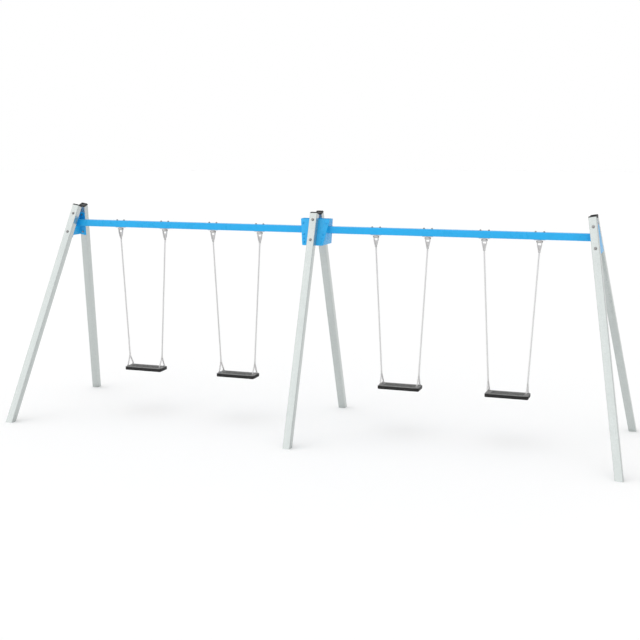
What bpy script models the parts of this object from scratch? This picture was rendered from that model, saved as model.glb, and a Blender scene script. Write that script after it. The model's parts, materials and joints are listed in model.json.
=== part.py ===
"""Two-bay swing set: three A-frames, two square top beams and four chain-hung seats.

Metres, +Z up. X runs along the beams, Y is the way the seats swing, and the ground is z = 0.
The end frames are the centre frame's pair of legs leaned outward about the apex height.
"""
from math import cos, pi, radians, sin, tan

import bmesh
import bpy
from mathutils import Matrix, Vector

# ---- driving dimensions -------------------------------------------------------------------
GAP = 0.0003                    # clearance kept between pieces that rest on each other
BITE = 0.001                    # how far joined shapes run into each other
PAST = 0.100                    # how far a cutter runs past what it cuts

APEX_Z = 2.400                  # height from which each frame's slopes are measured
BAY = 2.940                     # centre frame to an end frame at the apex height
END_LEAN = radians(10.0)        # lean of an end frame's plane, feet outward
LEG_SPREAD = radians(20.0)      # each leg from its frame's middle line
LEG_SIZE = 0.080                # square leg tube
LEG_WALL = 0.004
LEG_CORNER = 0.006
LEG_OFFSET = 0.070              # leg centre line from the middle line at the apex height
LEG_TOPS = {"left": 0.0085, "centre": -0.0185, "right": 0.0085}    # square cut, from the apex height
LEG_LONG = 2.90                 # long enough to pass the ground before it is cut level

CAP_RIM = 0.010                 # plastic end cap
CAP_PLUG = 0.022
CAP_CLEAR = 0.0008
CAP_EDGE = 0.002

BEAM_SIZE = 0.075               # square top beam
BEAM_WALL = 0.004
BEAM_CORNER = 0.005
BEAM_BORE_CORNER = 0.0015
BEAM_Z = 2.2105                 # beam centre line

BRACKET_TOP = -0.070            # brackets' edges below the apex height
BRACKET_BOTTOM = -0.350
FLANGE = 0.005                  # bracket sheet against a leg or a plate
WEB = 0.006                     # bracket sheet that the beam's end is welded to
PLATE = 0.006                   # wide plates of the centre frame
PLATE_HALF_TOP = 0.1655         # half width of a wide plate at its top edge
SADDLE_FLANGE = 0.050           # flange width inside the wide plates

LEG_BOLTS = (0.092, 0.316)      # bolt rows along a leg, from the apex height
PLATE_BOLTS = (0.107, 0.235, 0.278, 0.321)
PLATE_BOLT_INSET = 0.024        # bolt rows from a wide plate's slanted edge
LEG_STUD = 0.006                # stud radii
PLATE_STUD = 0.005
HOLE_CLEAR = 0.0005             # hole radius beyond the stud's
LEG_NUT = (0.0105, 0.009)       # inside nut: radius and height
STUD_END = 0.003                # stud that shows past the inside nut

# washers and domed nuts, as (radius, height) from the washer's foot to the dome's top
LEG_DOME = ((0.0160, 0.0), (0.0160, 0.0025), (0.0135, 0.0025), (0.0130, 0.0070), (0.0105, 0.0115),
            (0.0060, 0.0140), (0.0, 0.0148))
PLATE_DOME = ((0.0110, 0.0), (0.0110, 0.0020), (0.0090, 0.0020), (0.0085, 0.0055), (0.0050, 0.0085),
              (0.0, 0.0092))
BEAM_DOME = ((0.0120, 0.0), (0.0120, 0.0020), (0.0095, 0.0020), (0.0095, 0.0090), (0.0060, 0.0130),
             (0.0, 0.0145))

SEAT_CENTRES = (-2.1265, -0.9560, 0.9560, 2.1265)
HANGER_HALF = 0.284             # hangers from the middle of their swing
HANGER_PLATE = (0.114, 0.050, 0.006)
HANGER_CORNER = 0.010
HANGER_NECK = (0.014, 0.009)    # half length and half width
HANGER_STUDS = 0.044            # half the distance between a hanger's two studs
PIVOT_Z = 2.150                 # swing axis
HOUSING_RADIUS = 0.013
HOUSING_HALF = 0.0180
AXLE_RADIUS = 0.006
AXLE_HEAD = (0.0272, 0.0322)    # retaining heads, from and to, either side
AXLE_HEAD_RADIUS = 0.010
STIRRUP_EYE = (0.0185, 0.0266)  # stirrup cheeks, from and to, either side
STIRRUP_FOOT = (0.0055, 0.0130) # half widths of the stirrup's lower end, inside and outside
STIRRUP_DROP = 0.092
STIRRUP_BASE = 0.010            # height of the solid lower end
STIRRUP_FOLD = 0.028            # below the axis, where the cheeks turn inwards
STIRRUP_WIDE = 0.022
EYE_RADIUS = 0.0115
SHACKLE_RADIUS = 0.0095
SHACKLE_WIRE = 0.0035
SHACKLE_BITE = 0.002            # how far the shackle runs into the stirrup

CHAIN_RADIUS = 0.009            # envelope of the crossed links
CHAIN_CLEAR = (0.001, 0.0015)   # at the shackle and at the fork
FORK_Z = 0.665                  # seat tilt axis, where each chain forks
FORK_HALF = 0.2095
FORK_FOOT = (0.205, 0.060)      # where the fork's strands meet the seat
FORK_RADIUS = 0.007
LUG_RADIUS = 0.013
LUG_HIGH = 0.010

SEAT_SIZE = (0.460, 0.186, 0.039)
SEAT_TOP_Z = 0.542
SEAT_CORNER = 0.020
SEAT_EDGE = 0.008

HOLE_SIDES = 12                 # facets round the small pieces
STUD_SIDES = 8
BEARING_SIDES = 12
CHAIN_SIDES = 8
RING_SIDES = (6, 14)            # round the shackle's wire, and round the ring

SWING_SIDES = {"a": -1, "b": 1}
LEG_SIDES = {"front": -1, "back": 1}
FRAMES = {"left": (-BAY, 1), "centre": (0.0, 0), "right": (BAY, -1)}


# ---- scene, collections and materials -----------------------------------------------------
for old in list(bpy.data.objects):
    bpy.data.objects.remove(old, do_unlink=True)

PARTS = bpy.data.collections.new("two_bay_swing_set")
CUTTERS = bpy.data.collections.new("cutters")
bpy.context.scene.collection.children.link(PARTS)
bpy.context.scene.collection.children.link(CUTTERS)


def material(name, color, roughness, metallic):
    """A Principled material with one colour."""
    made = bpy.data.materials.new(name)
    made.use_nodes = True
    made.diffuse_color = (*color, 1.0)
    shader = made.node_tree.nodes["Principled BSDF"]
    shader.inputs["Base Color"].default_value = (*color, 1.0)
    shader.inputs["Roughness"].default_value = roughness
    shader.inputs["Metallic"].default_value = metallic
    return made


GALVANISED = material("galvanised_steel", (0.66, 0.69, 0.69), 0.45, 0.9)
BLUE_PAINT = material("blue_powder_coat", (0.05, 0.42, 0.85), 0.35, 0.0)
BLACK_PLASTIC = material("black_plastic", (0.02, 0.02, 0.02), 0.5, 0.0)
CHAIN_STEEL = material("chain_steel", (0.60, 0.62, 0.63), 0.4, 0.9)
BLACK_RUBBER = material("black_rubber", (0.03, 0.03, 0.03), 0.8, 0.0)


# ---- mesh makers --------------------------------------------------------------------------
def block(low, high):
    """A box between two corners."""
    bm = bmesh.new()
    bmesh.ops.create_cube(bm, size=1.0)
    low, high = Vector(low), Vector(high)
    bmesh.ops.scale(bm, vec=high - low, verts=bm.verts)
    bmesh.ops.translate(bm, vec=(low + high) / 2, verts=bm.verts)
    return bm


def round_edges(bm, picked, radius, segments):
    """Bevel the edges that a test picks."""
    edges = [edge for edge in bm.edges if picked(edge)]
    bmesh.ops.bevel(bm, geom=edges, offset=radius, segments=segments, profile=0.5, affect="EDGES",
                    material=-1)


def runs_along(axis):
    """A test for edges that lie along one axis, 0 to 2."""
    return lambda edge: abs((edge.verts[0].co - edge.verts[1].co).normalized()[axis]) > 0.99


def wedge(x_low, x_high, half_width, z_low, z_high, slope=0.0):
    """A solid whose half width follows half_width(z) and whose x faces lean by slope per metre of z."""
    bm = block((x_low, -1, z_low), (x_high, 1, z_high))
    for vert in bm.verts:
        vert.co.y *= half_width(vert.co.z)
        vert.co.x += slope * vert.co.z
    return bm


def turned(profile, sides, matrix):
    """A closed turned solid: profile is (radius, height) pairs that start and end on the axis."""
    bm = bmesh.new()
    verts = [bm.verts.new((radius, 0.0, height)) for radius, height in profile]
    edges = [bm.edges.new(pair) for pair in zip(verts, verts[1:])]
    bmesh.ops.spin(bm, geom=verts + edges, cent=(0, 0, 0), axis=(0, 0, 1), dvec=(0, 0, 0), angle=2 * pi,
                   steps=sides, use_merge=True, use_duplicate=False)
    bmesh.ops.remove_doubles(bm, verts=bm.verts, dist=0.00001)
    bmesh.ops.recalc_face_normals(bm, faces=bm.faces)
    bmesh.ops.transform(bm, matrix=matrix, verts=bm.verts)
    return bm


def rod(start, end, radius, sides):
    """A plain round bar between two points."""
    start, end = Vector(start), Vector(end)
    along = end - start
    turn = along.to_track_quat("Z", "Y").to_matrix().to_4x4()
    place = Matrix.Translation((start + end) / 2) @ turn
    bm = bmesh.new()
    bmesh.ops.create_cone(bm, cap_ends=True, segments=sides, radius1=radius, radius2=radius,
                          depth=along.length, matrix=place)
    return bm


def made_object(name, bm, finish, parent=None, matrix=None, collection=PARTS):
    """Turn a bmesh into a named object, in its parent's frame."""
    mesh = bpy.data.meshes.new(name)
    bm.to_mesh(mesh)
    bm.free()
    mesh.materials.append(finish)
    mesh.shade_smooth()
    mesh.set_sharp_from_angle(angle=radians(35))
    obj = bpy.data.objects.new(name, mesh)
    collection.objects.link(obj)
    obj.parent = parent
    if matrix is not None:
        obj.matrix_local = matrix
    return obj


def helper(name, bm, parent=None, matrix=None):
    """A hidden solid that cuts a part or is joined to it."""
    obj = made_object(name, bm, BLACK_PLASTIC, parent, matrix, CUTTERS)
    obj.hide_render = True
    obj.display_type = "WIRE"
    return obj


def combine(obj, other, operation):
    """Cut the other solid from a part, or join it on."""
    modifier = obj.modifiers.new(other.name, "BOOLEAN")
    modifier.operation = operation
    modifier.solver = "EXACT"
    modifier.object = other


def empty(name, location, rotation=(0, 0, 0), parent=None):
    """An empty that carries a group of pieces."""
    obj = bpy.data.objects.new(name, None)
    PARTS.objects.link(obj)
    obj.parent = parent
    obj.location = location
    obj.rotation_euler = rotation
    return obj


# ---- shared geometry ----------------------------------------------------------------------
def leg_inner(z):
    """Distance of a leg's inner face from the frame's middle line, at a height from the apex."""
    return LEG_OFFSET - LEG_SIZE / 2 / cos(LEG_SPREAD) - z * tan(LEG_SPREAD)


def inside(depth):
    """Half width function of a surface that lies depth inside the legs' inner faces."""
    return lambda z: leg_inner(z) - depth / cos(LEG_SPREAD)


def leg_matrix(side):
    """Axes of a leg in its frame: z up the leg, y away from the frame's middle for the back leg."""
    return Matrix.Translation((0, side * LEG_OFFSET, 0)) @ Matrix.Rotation(side * LEG_SPREAD, 4, "X")


def across_leg(side, x, down):
    """Axes of a bolt: z points out of the leg's outer face, and the origin is on the leg's centre plane."""
    outward = Matrix.Rotation(-side * pi / 2, 4, "X")
    return leg_matrix(side) @ Matrix.Translation((x, 0, -down)) @ outward


def plate_edge(z):
    """Half width of a wide centre plate at a height from the apex."""
    return PLATE_HALF_TOP + (z - BRACKET_TOP) * tan(END_LEAN)


def along_plate(down):
    """Height from the apex of a bolt row that is given along the leg."""
    return -down * cos(LEG_SPREAD) - LEG_SIZE / 2 * sin(LEG_SPREAD)


def joined_studs(obj, profile, places, parent):
    """Join one turned stud on a part at each place."""
    for index, place in enumerate(places):
        stud = helper(f"{obj.name}_stud_{index}", turned(profile, STUD_SIDES, place), parent)
        combine(obj, stud, "UNION")


def domed(dome, stud, face):
    """A washer and domed nut on a face, from the stud's own radius to the dome's top."""
    return [(stud, face)] + [(radius, face + height) for radius, height in dome]


def leg_stud_profile(sheet):
    """Stud through a leg: nut inside the bracket sheet, washer and domed nut outside the leg."""
    radius, high = LEG_NUT
    inner = -LEG_SIZE / 2 - GAP - sheet
    nut_end = inner - high
    inside_end = [(0, nut_end - STUD_END), (LEG_STUD, nut_end - STUD_END), (LEG_STUD, nut_end),
                  (radius, nut_end), (radius, inner + BITE), (LEG_STUD, inner + BITE)]
    return inside_end + domed(LEG_DOME, LEG_STUD, LEG_SIZE / 2 + GAP)


def plate_stud_profile():
    """Stud from a saddle's flange out through a wide plate, with a small domed nut."""
    face = -LEG_SIZE / 2
    root = face - GAP - PLATE - GAP - FLANGE + BITE
    return [(0, root), (PLATE_STUD, root)] + domed(PLATE_DOME, PLATE_STUD, face)


# ---- frames: legs, caps and brackets ------------------------------------------------------
def build_leg(name, parent, side, top, ground):
    """A square tube leg, cut square at its top and level at the ground."""
    half = LEG_SIZE / 2
    outer = block((-half, -half, -LEG_LONG), (half, half, top))
    round_edges(outer, runs_along(2), LEG_CORNER, 2)
    leg = made_object(name, outer, GALVANISED, parent, leg_matrix(side))
    hollow = half - LEG_WALL
    bore = block((-hollow, -hollow, -LEG_LONG - PAST), (hollow, hollow, top + PAST))
    round_edges(bore, runs_along(2), LEG_CORNER - LEG_WALL, 1)
    combine(leg, helper(name + "_bore", bore, parent, leg_matrix(side)), "DIFFERENCE")
    combine(leg, ground, "DIFFERENCE")
    for row, down in enumerate(LEG_BOLTS):
        hole = rod((0, 0, -LEG_SIZE), (0, 0, LEG_SIZE), LEG_STUD + HOLE_CLEAR, HOLE_SIDES)
        bmesh.ops.transform(hole, matrix=across_leg(side, 0, down), verts=hole.verts)
        combine(leg, helper(f"{name}_hole_{row}", hole, parent), "DIFFERENCE")
    return leg


def build_cap(name, parent, side, tube_top):
    """A plastic cap: a rim on the tube's end and a plug inside it."""
    half = LEG_SIZE / 2
    plug = half - LEG_WALL - CAP_CLEAR
    base = tube_top + GAP
    rim = block((-half, -half, base), (half, half, base + CAP_RIM))
    round_edges(rim, runs_along(2), LEG_CORNER, 2)
    top = base + CAP_RIM - GAP
    top_edges = [edge for edge in rim.edges if min(vert.co.z for vert in edge.verts) > top]
    bmesh.ops.bevel(rim, geom=top_edges, offset=CAP_EDGE, segments=2, profile=0.5, affect="EDGES",
                    material=-1)
    cap = made_object(name, rim, BLACK_PLASTIC, parent, leg_matrix(side))
    insert = block((-plug, -plug, base - CAP_PLUG), (plug, plug, base + CAP_RIM / 2))
    round_edges(insert, runs_along(2), LEG_CORNER / 2, 1)
    combine(cap, helper(name + "_plug", insert, parent, leg_matrix(side)), "UNION")
    return cap


def leg_stud_places(side):
    return [across_leg(side, 0, down) for down in LEG_BOLTS]


def build_end_bracket(name, parent, outward):
    """A channel between an end frame's legs: flanges on the legs and a web on the outer side."""
    half = LEG_SIZE / 2
    low, high = sorted((outward * half, -outward * half))
    body = wedge(low, high, inside(GAP), BRACKET_BOTTOM, BRACKET_TOP)
    bracket = made_object(name, body, BLUE_PAINT, parent)
    low, high = sorted((outward * (half - WEB), -outward * 2 * half))
    channel = wedge(low, high, inside(GAP + FLANGE), BRACKET_BOTTOM - PAST, BRACKET_TOP + PAST)
    combine(bracket, helper(name + "_channel", channel, parent), "DIFFERENCE")
    places = leg_stud_places(-1) + leg_stud_places(1)
    joined_studs(bracket, leg_stud_profile(FLANGE), places, parent)
    return bracket


def build_centre_plate(name, parent, side):
    """A wide plate on the inner face of a centre leg, with two studs through the leg."""
    top = (BRACKET_TOP + LEG_SIZE / 2 * sin(LEG_SPREAD)) / cos(LEG_SPREAD)
    bottom = (BRACKET_BOTTOM + LEG_SIZE / 2 * sin(LEG_SPREAD)) / cos(LEG_SPREAD)
    face = side * (LEG_SIZE / 2 + GAP)
    low, high = sorted((-face, -face - side * PLATE))
    sheet = block((-1, low, bottom), (1, high, top))
    for vert in sheet.verts:
        vert.co.x *= plate_edge(BRACKET_TOP if vert.co.z > (top + bottom) / 2 else BRACKET_BOTTOM)
    plate = made_object(name, sheet, BLUE_PAINT, parent, leg_matrix(side))
    holes = bmesh.new()
    for end in (-1, 1):
        for down in PLATE_BOLTS:
            x = end * (plate_edge(along_plate(down)) - PLATE_BOLT_INSET)
            hole = rod((0, 0, -LEG_SIZE), (0, 0, 0), PLATE_STUD + HOLE_CLEAR, HOLE_SIDES)
            bmesh.ops.transform(hole, matrix=across_leg(side, x, down), verts=hole.verts)
            part = bpy.data.meshes.new("hole")
            hole.to_mesh(part)
            hole.free()
            holes.from_mesh(part)
            bpy.data.meshes.remove(part)
    combine(plate, helper(name + "_holes", holes, parent), "DIFFERENCE")
    joined_studs(plate, leg_stud_profile(PLATE), leg_stud_places(side), parent)
    return plate


def build_saddle(name, parent, end):
    """A channel between the wide plates that a beam's inner end is welded to."""
    slope = end * tan(END_LEAN)
    web_face = end * (PLATE_HALF_TOP - BRACKET_TOP * tan(END_LEAN))
    depth = GAP + PLATE + GAP
    low, high = sorted((web_face, web_face - end * SADDLE_FLANGE))
    body = wedge(low, high, inside(depth), BRACKET_BOTTOM, BRACKET_TOP, slope)
    saddle = made_object(name, body, BLUE_PAINT, parent)
    low, high = sorted((web_face - end * WEB, web_face - end * 2 * SADDLE_FLANGE))
    channel = wedge(low, high, inside(depth + FLANGE), BRACKET_BOTTOM - PAST, 0.0, slope)
    combine(saddle, helper(name + "_channel", channel, parent), "DIFFERENCE")
    places = []
    for side in LEG_SIDES.values():
        for down in PLATE_BOLTS:
            x = end * (plate_edge(along_plate(down)) - PLATE_BOLT_INSET)
            places.append(across_leg(side, x, down))
    joined_studs(saddle, plate_stud_profile(), places, parent)
    return saddle


def beam_bar(start, stop, half, corner, slope):
    """A square bar along X whose ends slope: towards the middle of its bay at the lower edge."""
    low, high = sorted((start, stop))
    bar = block((low, -half, -half), (high, half, half))
    round_edges(bar, runs_along(0), corner, 2)
    for vert in bar.verts:
        near_centre = abs(vert.co.x) < abs(start + stop) / 2
        vert.co.x += (slope if near_centre else -slope) * vert.co.z
    return bar


def build_beam(name, end):
    """A square beam from the centre frame's saddle to an end frame's web, its ends cut to their slope."""
    half = BEAM_SIZE / 2
    drop = BEAM_Z - APEX_Z
    slope = end * tan(END_LEAN)
    place = Matrix.Translation((0, 0, BEAM_Z))
    start = end * (plate_edge(drop) + GAP)
    stop = end * (BAY + (LEG_SIZE / 2 - WEB - GAP) / cos(END_LEAN)) - slope * drop
    bar = beam_bar(start, stop, half, BEAM_CORNER, slope)
    beam = made_object(name, bar, BLUE_PAINT, None, place)
    bore = beam_bar(start - end * PAST, stop + end * PAST, half - BEAM_WALL, BEAM_BORE_CORNER, slope)
    combine(beam, helper(name + "_bore", bore, None, place), "DIFFERENCE")
    offsets = [side * HANGER_HALF + stud * HANGER_STUDS for side in (-1, 1) for stud in (-1, 1)]
    places = [centre + offset for centre in SEAT_CENTRES if centre * end > 0 for offset in offsets]
    for number, x in enumerate(places):
        hole = rod((x, 0, BEAM_Z - BEAM_SIZE), (x, 0, BEAM_Z + BEAM_SIZE), LEG_STUD + HOLE_CLEAR, HOLE_SIDES)
        combine(beam, helper(f"{name}_hole_{number}", hole), "DIFFERENCE")
    return beam


def build_frames():
    ground = helper("ground", block((-5, -3, -2), (5, 3, 0)))
    for frame, (x, lean) in FRAMES.items():
        parent = empty("frame_" + frame, (x, 0, APEX_Z), (0, lean * END_LEAN, 0))
        for leg, side in LEG_SIDES.items():
            build_leg(f"leg_{frame}_{leg}", parent, side, LEG_TOPS[frame], ground)
            build_cap(f"cap_{frame}_{leg}", parent, side, LEG_TOPS[frame])
        if frame == "centre":
            for leg, side in LEG_SIDES.items():
                build_centre_plate("centre_plate_" + leg, parent, side)
            build_saddle("saddle_left", parent, -1)
            build_saddle("saddle_right", parent, 1)
        else:
            build_end_bracket("end_bracket_" + frame, parent, -lean)
    build_beam("beam_left", -1)
    build_beam("beam_right", 1)


# ---- swings -------------------------------------------------------------------------------
def build_hanger(name, x):
    """The fixed half of a swing bearing: plate and studs on the beam, housing and axle below it."""
    long, wide, thick = HANGER_PLATE
    neck_x, neck_y = HANGER_NECK
    plate_top = BEAM_Z - BEAM_SIZE / 2 - GAP
    plate_middle = plate_top - thick / 2
    plate = block((x - long / 2, -wide / 2, plate_top - thick), (x + long / 2, wide / 2, plate_top))
    round_edges(plate, runs_along(2), HANGER_CORNER, 2)
    hanger = made_object(name, plate, GALVANISED)
    neck = block((x - neck_x, -neck_y, PIVOT_Z), (x + neck_x, neck_y, plate_middle))
    combine(hanger, helper(name + "_neck", neck), "UNION")
    axis = ((x - HOUSING_HALF, 0, PIVOT_Z), (x + HOUSING_HALF, 0, PIVOT_Z))
    combine(hanger, helper(name + "_housing", rod(*axis, HOUSING_RADIUS, BEARING_SIDES)), "UNION")
    near, far = AXLE_HEAD
    half_axle = [(AXLE_RADIUS, near), (AXLE_HEAD_RADIUS, near), (AXLE_HEAD_RADIUS, far), (0, far)]
    axle = [(radius, -height) for radius, height in reversed(half_axle)] + half_axle
    lie = Matrix.Translation((x, 0, PIVOT_Z)) @ Matrix.Rotation(pi / 2, 4, "Y")
    combine(hanger, helper(name + "_axle", turned(axle, BEARING_SIDES, lie)), "UNION")
    stud = [(0, plate_middle), (LEG_STUD, plate_middle)]
    stud += domed(BEAM_DOME, LEG_STUD, BEAM_Z + BEAM_SIZE / 2 + GAP)
    for end in (-1, 1):
        place = Matrix.Translation((x + end * HANGER_STUDS, 0, 0))
        combine(hanger, helper(f"{name}_stud{end}", turned(stud, STUD_SIDES, place)), "UNION")
    return hanger


def tapered_block(near_half, foot_half, half_y, low, high):
    """A block that keeps its width down to the stirrup's fold and then narrows to its lower end."""
    bm = block((-near_half, -half_y, low), (near_half, half_y, high))
    bmesh.ops.bisect_plane(bm, geom=bm.verts[:] + bm.edges[:] + bm.faces[:], plane_co=(0, 0, -STIRRUP_FOLD),
                           plane_no=(0, 0, 1), dist=0.00001)
    for vert in bm.verts:
        if vert.co.z < -STIRRUP_DROP / 2:
            vert.co.x *= foot_half / near_half
    return bm


def shackle_ring(height):
    """A ring of round wire that lies in the XZ plane."""
    ring = bmesh.new()
    bmesh.ops.create_circle(ring, segments=RING_SIDES[0], radius=SHACKLE_WIRE)
    bmesh.ops.translate(ring, vec=(SHACKLE_RADIUS, 0, 0), verts=ring.verts)
    bmesh.ops.spin(ring, geom=ring.edges[:], cent=(0, 0, 0), axis=(0, 1, 0), dvec=(0, 0, 0), angle=2 * pi,
                   steps=RING_SIDES[1], use_merge=True, use_duplicate=False)
    bmesh.ops.recalc_face_normals(ring, faces=ring.faces)
    bmesh.ops.translate(ring, vec=(0, 0, height), verts=ring.verts)
    return ring


def build_stirrup(name, parent, x):
    """The moving half of a swing bearing: a V of flat bar that turns on the axle, and its shackle."""
    near, far = STIRRUP_EYE
    foot_near, foot_far = STIRRUP_FOOT
    place = Matrix.Translation((x, 0, 0))
    outer = tapered_block(far, foot_far, STIRRUP_WIDE / 2, -STIRRUP_DROP, 0)
    inner = tapered_block(near, foot_near, PAST, STIRRUP_BASE - STIRRUP_DROP, PAST)
    stirrup = made_object(name, outer, GALVANISED, parent, place)
    for side in (-1, 1):
        eye = rod((side * near, 0, 0), (side * far, 0, 0), EYE_RADIUS, 2 * BEARING_SIDES)
        combine(stirrup, helper(f"{name}_eye{side}", eye, parent, place), "UNION")
    combine(stirrup, helper(name + "_inside", inner, parent, place), "DIFFERENCE")
    bore = rod((-PAST, 0, 0), (PAST, 0, 0), AXLE_RADIUS + HOLE_CLEAR, BEARING_SIDES)
    combine(stirrup, helper(name + "_bore", bore, parent, place), "DIFFERENCE")
    ring = shackle_ring(SHACKLE_BITE - STIRRUP_DROP - SHACKLE_RADIUS - SHACKLE_WIRE)
    combine(stirrup, helper(name + "_shackle", ring, parent, place), "UNION")
    return stirrup


def build_chain(name, parent, side):
    """A straight chain, as the round envelope of its links."""
    top = SHACKLE_BITE - STIRRUP_DROP - 2 * (SHACKLE_RADIUS + SHACKLE_WIRE) - CHAIN_CLEAR[0]
    bottom = FORK_Z - PIVOT_Z + FORK_RADIUS + CHAIN_CLEAR[1]
    chain = rod((side * FORK_HALF, 0, bottom), (side * HANGER_HALF, 0, top), CHAIN_RADIUS, CHAIN_SIDES)
    return made_object(name, chain, CHAIN_STEEL, parent)


def bent_strand(apex, foot_x, foot_y, foot_z):
    """A round bar bent into an upside-down V: foot in front, apex, foot behind."""
    bm = rod((0, 0, -1), (0, 0, 1), FORK_RADIUS, CHAIN_SIDES)
    bmesh.ops.bisect_plane(bm, geom=bm.verts[:] + bm.edges[:] + bm.faces[:], plane_co=(0, 0, 0),
                           plane_no=(0, 0, 1), dist=0.00001)
    for vert in bm.verts:
        across, toward, place = vert.co
        if abs(place) < 0.5:
            vert.co = (apex[0] + across, 0, apex[2] - toward)
        else:
            end = 1 if place > 0 else -1
            vert.co = (foot_x + across, end * (foot_y - toward), foot_z)
    bmesh.ops.recalc_face_normals(bm, faces=bm.faces)
    return bm


def build_fork(name, parent, side):
    """Two short strands from the chain's end to lugs on the seat's front and back edges."""
    foot_x, foot_y = FORK_FOOT
    lug_base = SEAT_TOP_Z - FORK_Z + GAP
    strand = bent_strand((side * FORK_HALF, 0, 0), side * foot_x, foot_y, lug_base + 0.4 * LUG_HIGH)
    fork = made_object(name, strand, CHAIN_STEEL, parent)
    lug = [(0, 0), (LUG_RADIUS, 0), (LUG_RADIUS, LUG_HIGH / 2), (LUG_RADIUS / 2, LUG_HIGH), (0, LUG_HIGH)]
    for end in (-1, 1):
        boss = turned(lug, STUD_SIDES, Matrix.Translation((side * foot_x, end * foot_y, lug_base)))
        combine(fork, helper(f"{name}_lug{end}", boss, parent), "UNION")
    return fork


def build_seat(name, parent):
    """A moulded rubber plank seat."""
    long, wide, thick = SEAT_SIZE
    top = SEAT_TOP_Z - FORK_Z
    plank = block((-long / 2, -wide / 2, top - thick), (long / 2, wide / 2, top))
    round_edges(plank, runs_along(2), SEAT_CORNER, 4)
    rim = [edge for edge in plank.edges if abs(edge.verts[0].co.z - edge.verts[1].co.z) < GAP]
    bmesh.ops.bevel(plank, geom=rim, offset=SEAT_EDGE, segments=2, profile=0.5, affect="EDGES", material=-1)
    return made_object(name, plank, BLACK_RUBBER, parent)


def build_swings():
    for number, centre in enumerate(SEAT_CENTRES, start=1):
        pivot = empty(f"swing_{number}", (centre, 0, PIVOT_Z))
        tilt = empty(f"tilt_{number}", (0, 0, FORK_Z - PIVOT_Z), parent=pivot)
        for letter, side in SWING_SIDES.items():
            build_hanger(f"hanger_{number}{letter}", centre + side * HANGER_HALF)
            build_stirrup(f"stirrup_{number}{letter}", pivot, side * HANGER_HALF)
            build_chain(f"chain_{number}{letter}", pivot, side)
            build_fork(f"fork_{number}{letter}", tilt, side)
        build_seat(f"seat_{number}", tilt)


build_frames()
build_swings()
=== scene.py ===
"""Finished pieces, finishes and studio for a two-bay swing set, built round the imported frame.

Metres, +Z up. X runs along the beams, Y is the way the seats swing, and the ground is z = 0.
Each A-frame has axes of its own: origin at the apex height, z up its middle line, y from front to back.
"""
import json
from math import cos, pi, radians, sin, tan

import bmesh
import bpy
from bpy.props import FloatProperty, FloatVectorProperty, IntProperty, PointerProperty
from mathutils import Matrix, Vector


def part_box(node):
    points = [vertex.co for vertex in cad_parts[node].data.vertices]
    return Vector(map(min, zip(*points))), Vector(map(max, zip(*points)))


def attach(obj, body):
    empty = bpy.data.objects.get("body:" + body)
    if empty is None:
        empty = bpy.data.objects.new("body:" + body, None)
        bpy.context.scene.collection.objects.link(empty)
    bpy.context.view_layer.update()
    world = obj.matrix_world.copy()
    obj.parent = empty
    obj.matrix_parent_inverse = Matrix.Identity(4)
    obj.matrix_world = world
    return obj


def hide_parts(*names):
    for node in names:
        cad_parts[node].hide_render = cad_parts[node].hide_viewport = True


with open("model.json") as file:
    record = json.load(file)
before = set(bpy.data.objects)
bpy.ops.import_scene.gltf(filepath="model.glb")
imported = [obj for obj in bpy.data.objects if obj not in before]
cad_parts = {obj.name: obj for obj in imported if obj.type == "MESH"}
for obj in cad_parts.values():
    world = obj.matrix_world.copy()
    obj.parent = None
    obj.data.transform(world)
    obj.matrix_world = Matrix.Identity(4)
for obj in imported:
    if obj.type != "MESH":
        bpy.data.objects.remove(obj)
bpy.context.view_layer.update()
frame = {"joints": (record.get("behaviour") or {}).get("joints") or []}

bl_info = {
    "name": "Two-Bay Swing Set",
    "version": (1, 0, 0),
    "blender": (4, 5, 0),
    "location": "3D View > Sidebar > Swing Set",
    "description": "Finished pieces, finishes and studio for a two-bay swing set",
    "category": "Add Mesh",
}

# ---- places taken from the frame ----------------------------------------------------------
AXES = {joint["name"]: Vector(joint["pos_m"]) for joint in frame["joints"]}
SWINGS = (1, 2, 3, 4)
HANDS = {"a": -1, "b": 1}
LEG_SIDES = {"front": -1, "back": 1}
LEANS = {"left": 1, "centre": 0, "right": -1}
BEAM_ENDS = {"left": -1, "right": 1}
BEAM_LOW, BEAM_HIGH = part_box("beam_right")
SHEET_LOW, SHEET_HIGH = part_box("saddle_right")
SEAT_LOW, SEAT_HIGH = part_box("seat_1")
BEAM_Z = (BEAM_LOW.z + BEAM_HIGH.z) / 2
GAP = 0.0003                    # what touching pieces keep between them


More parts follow.
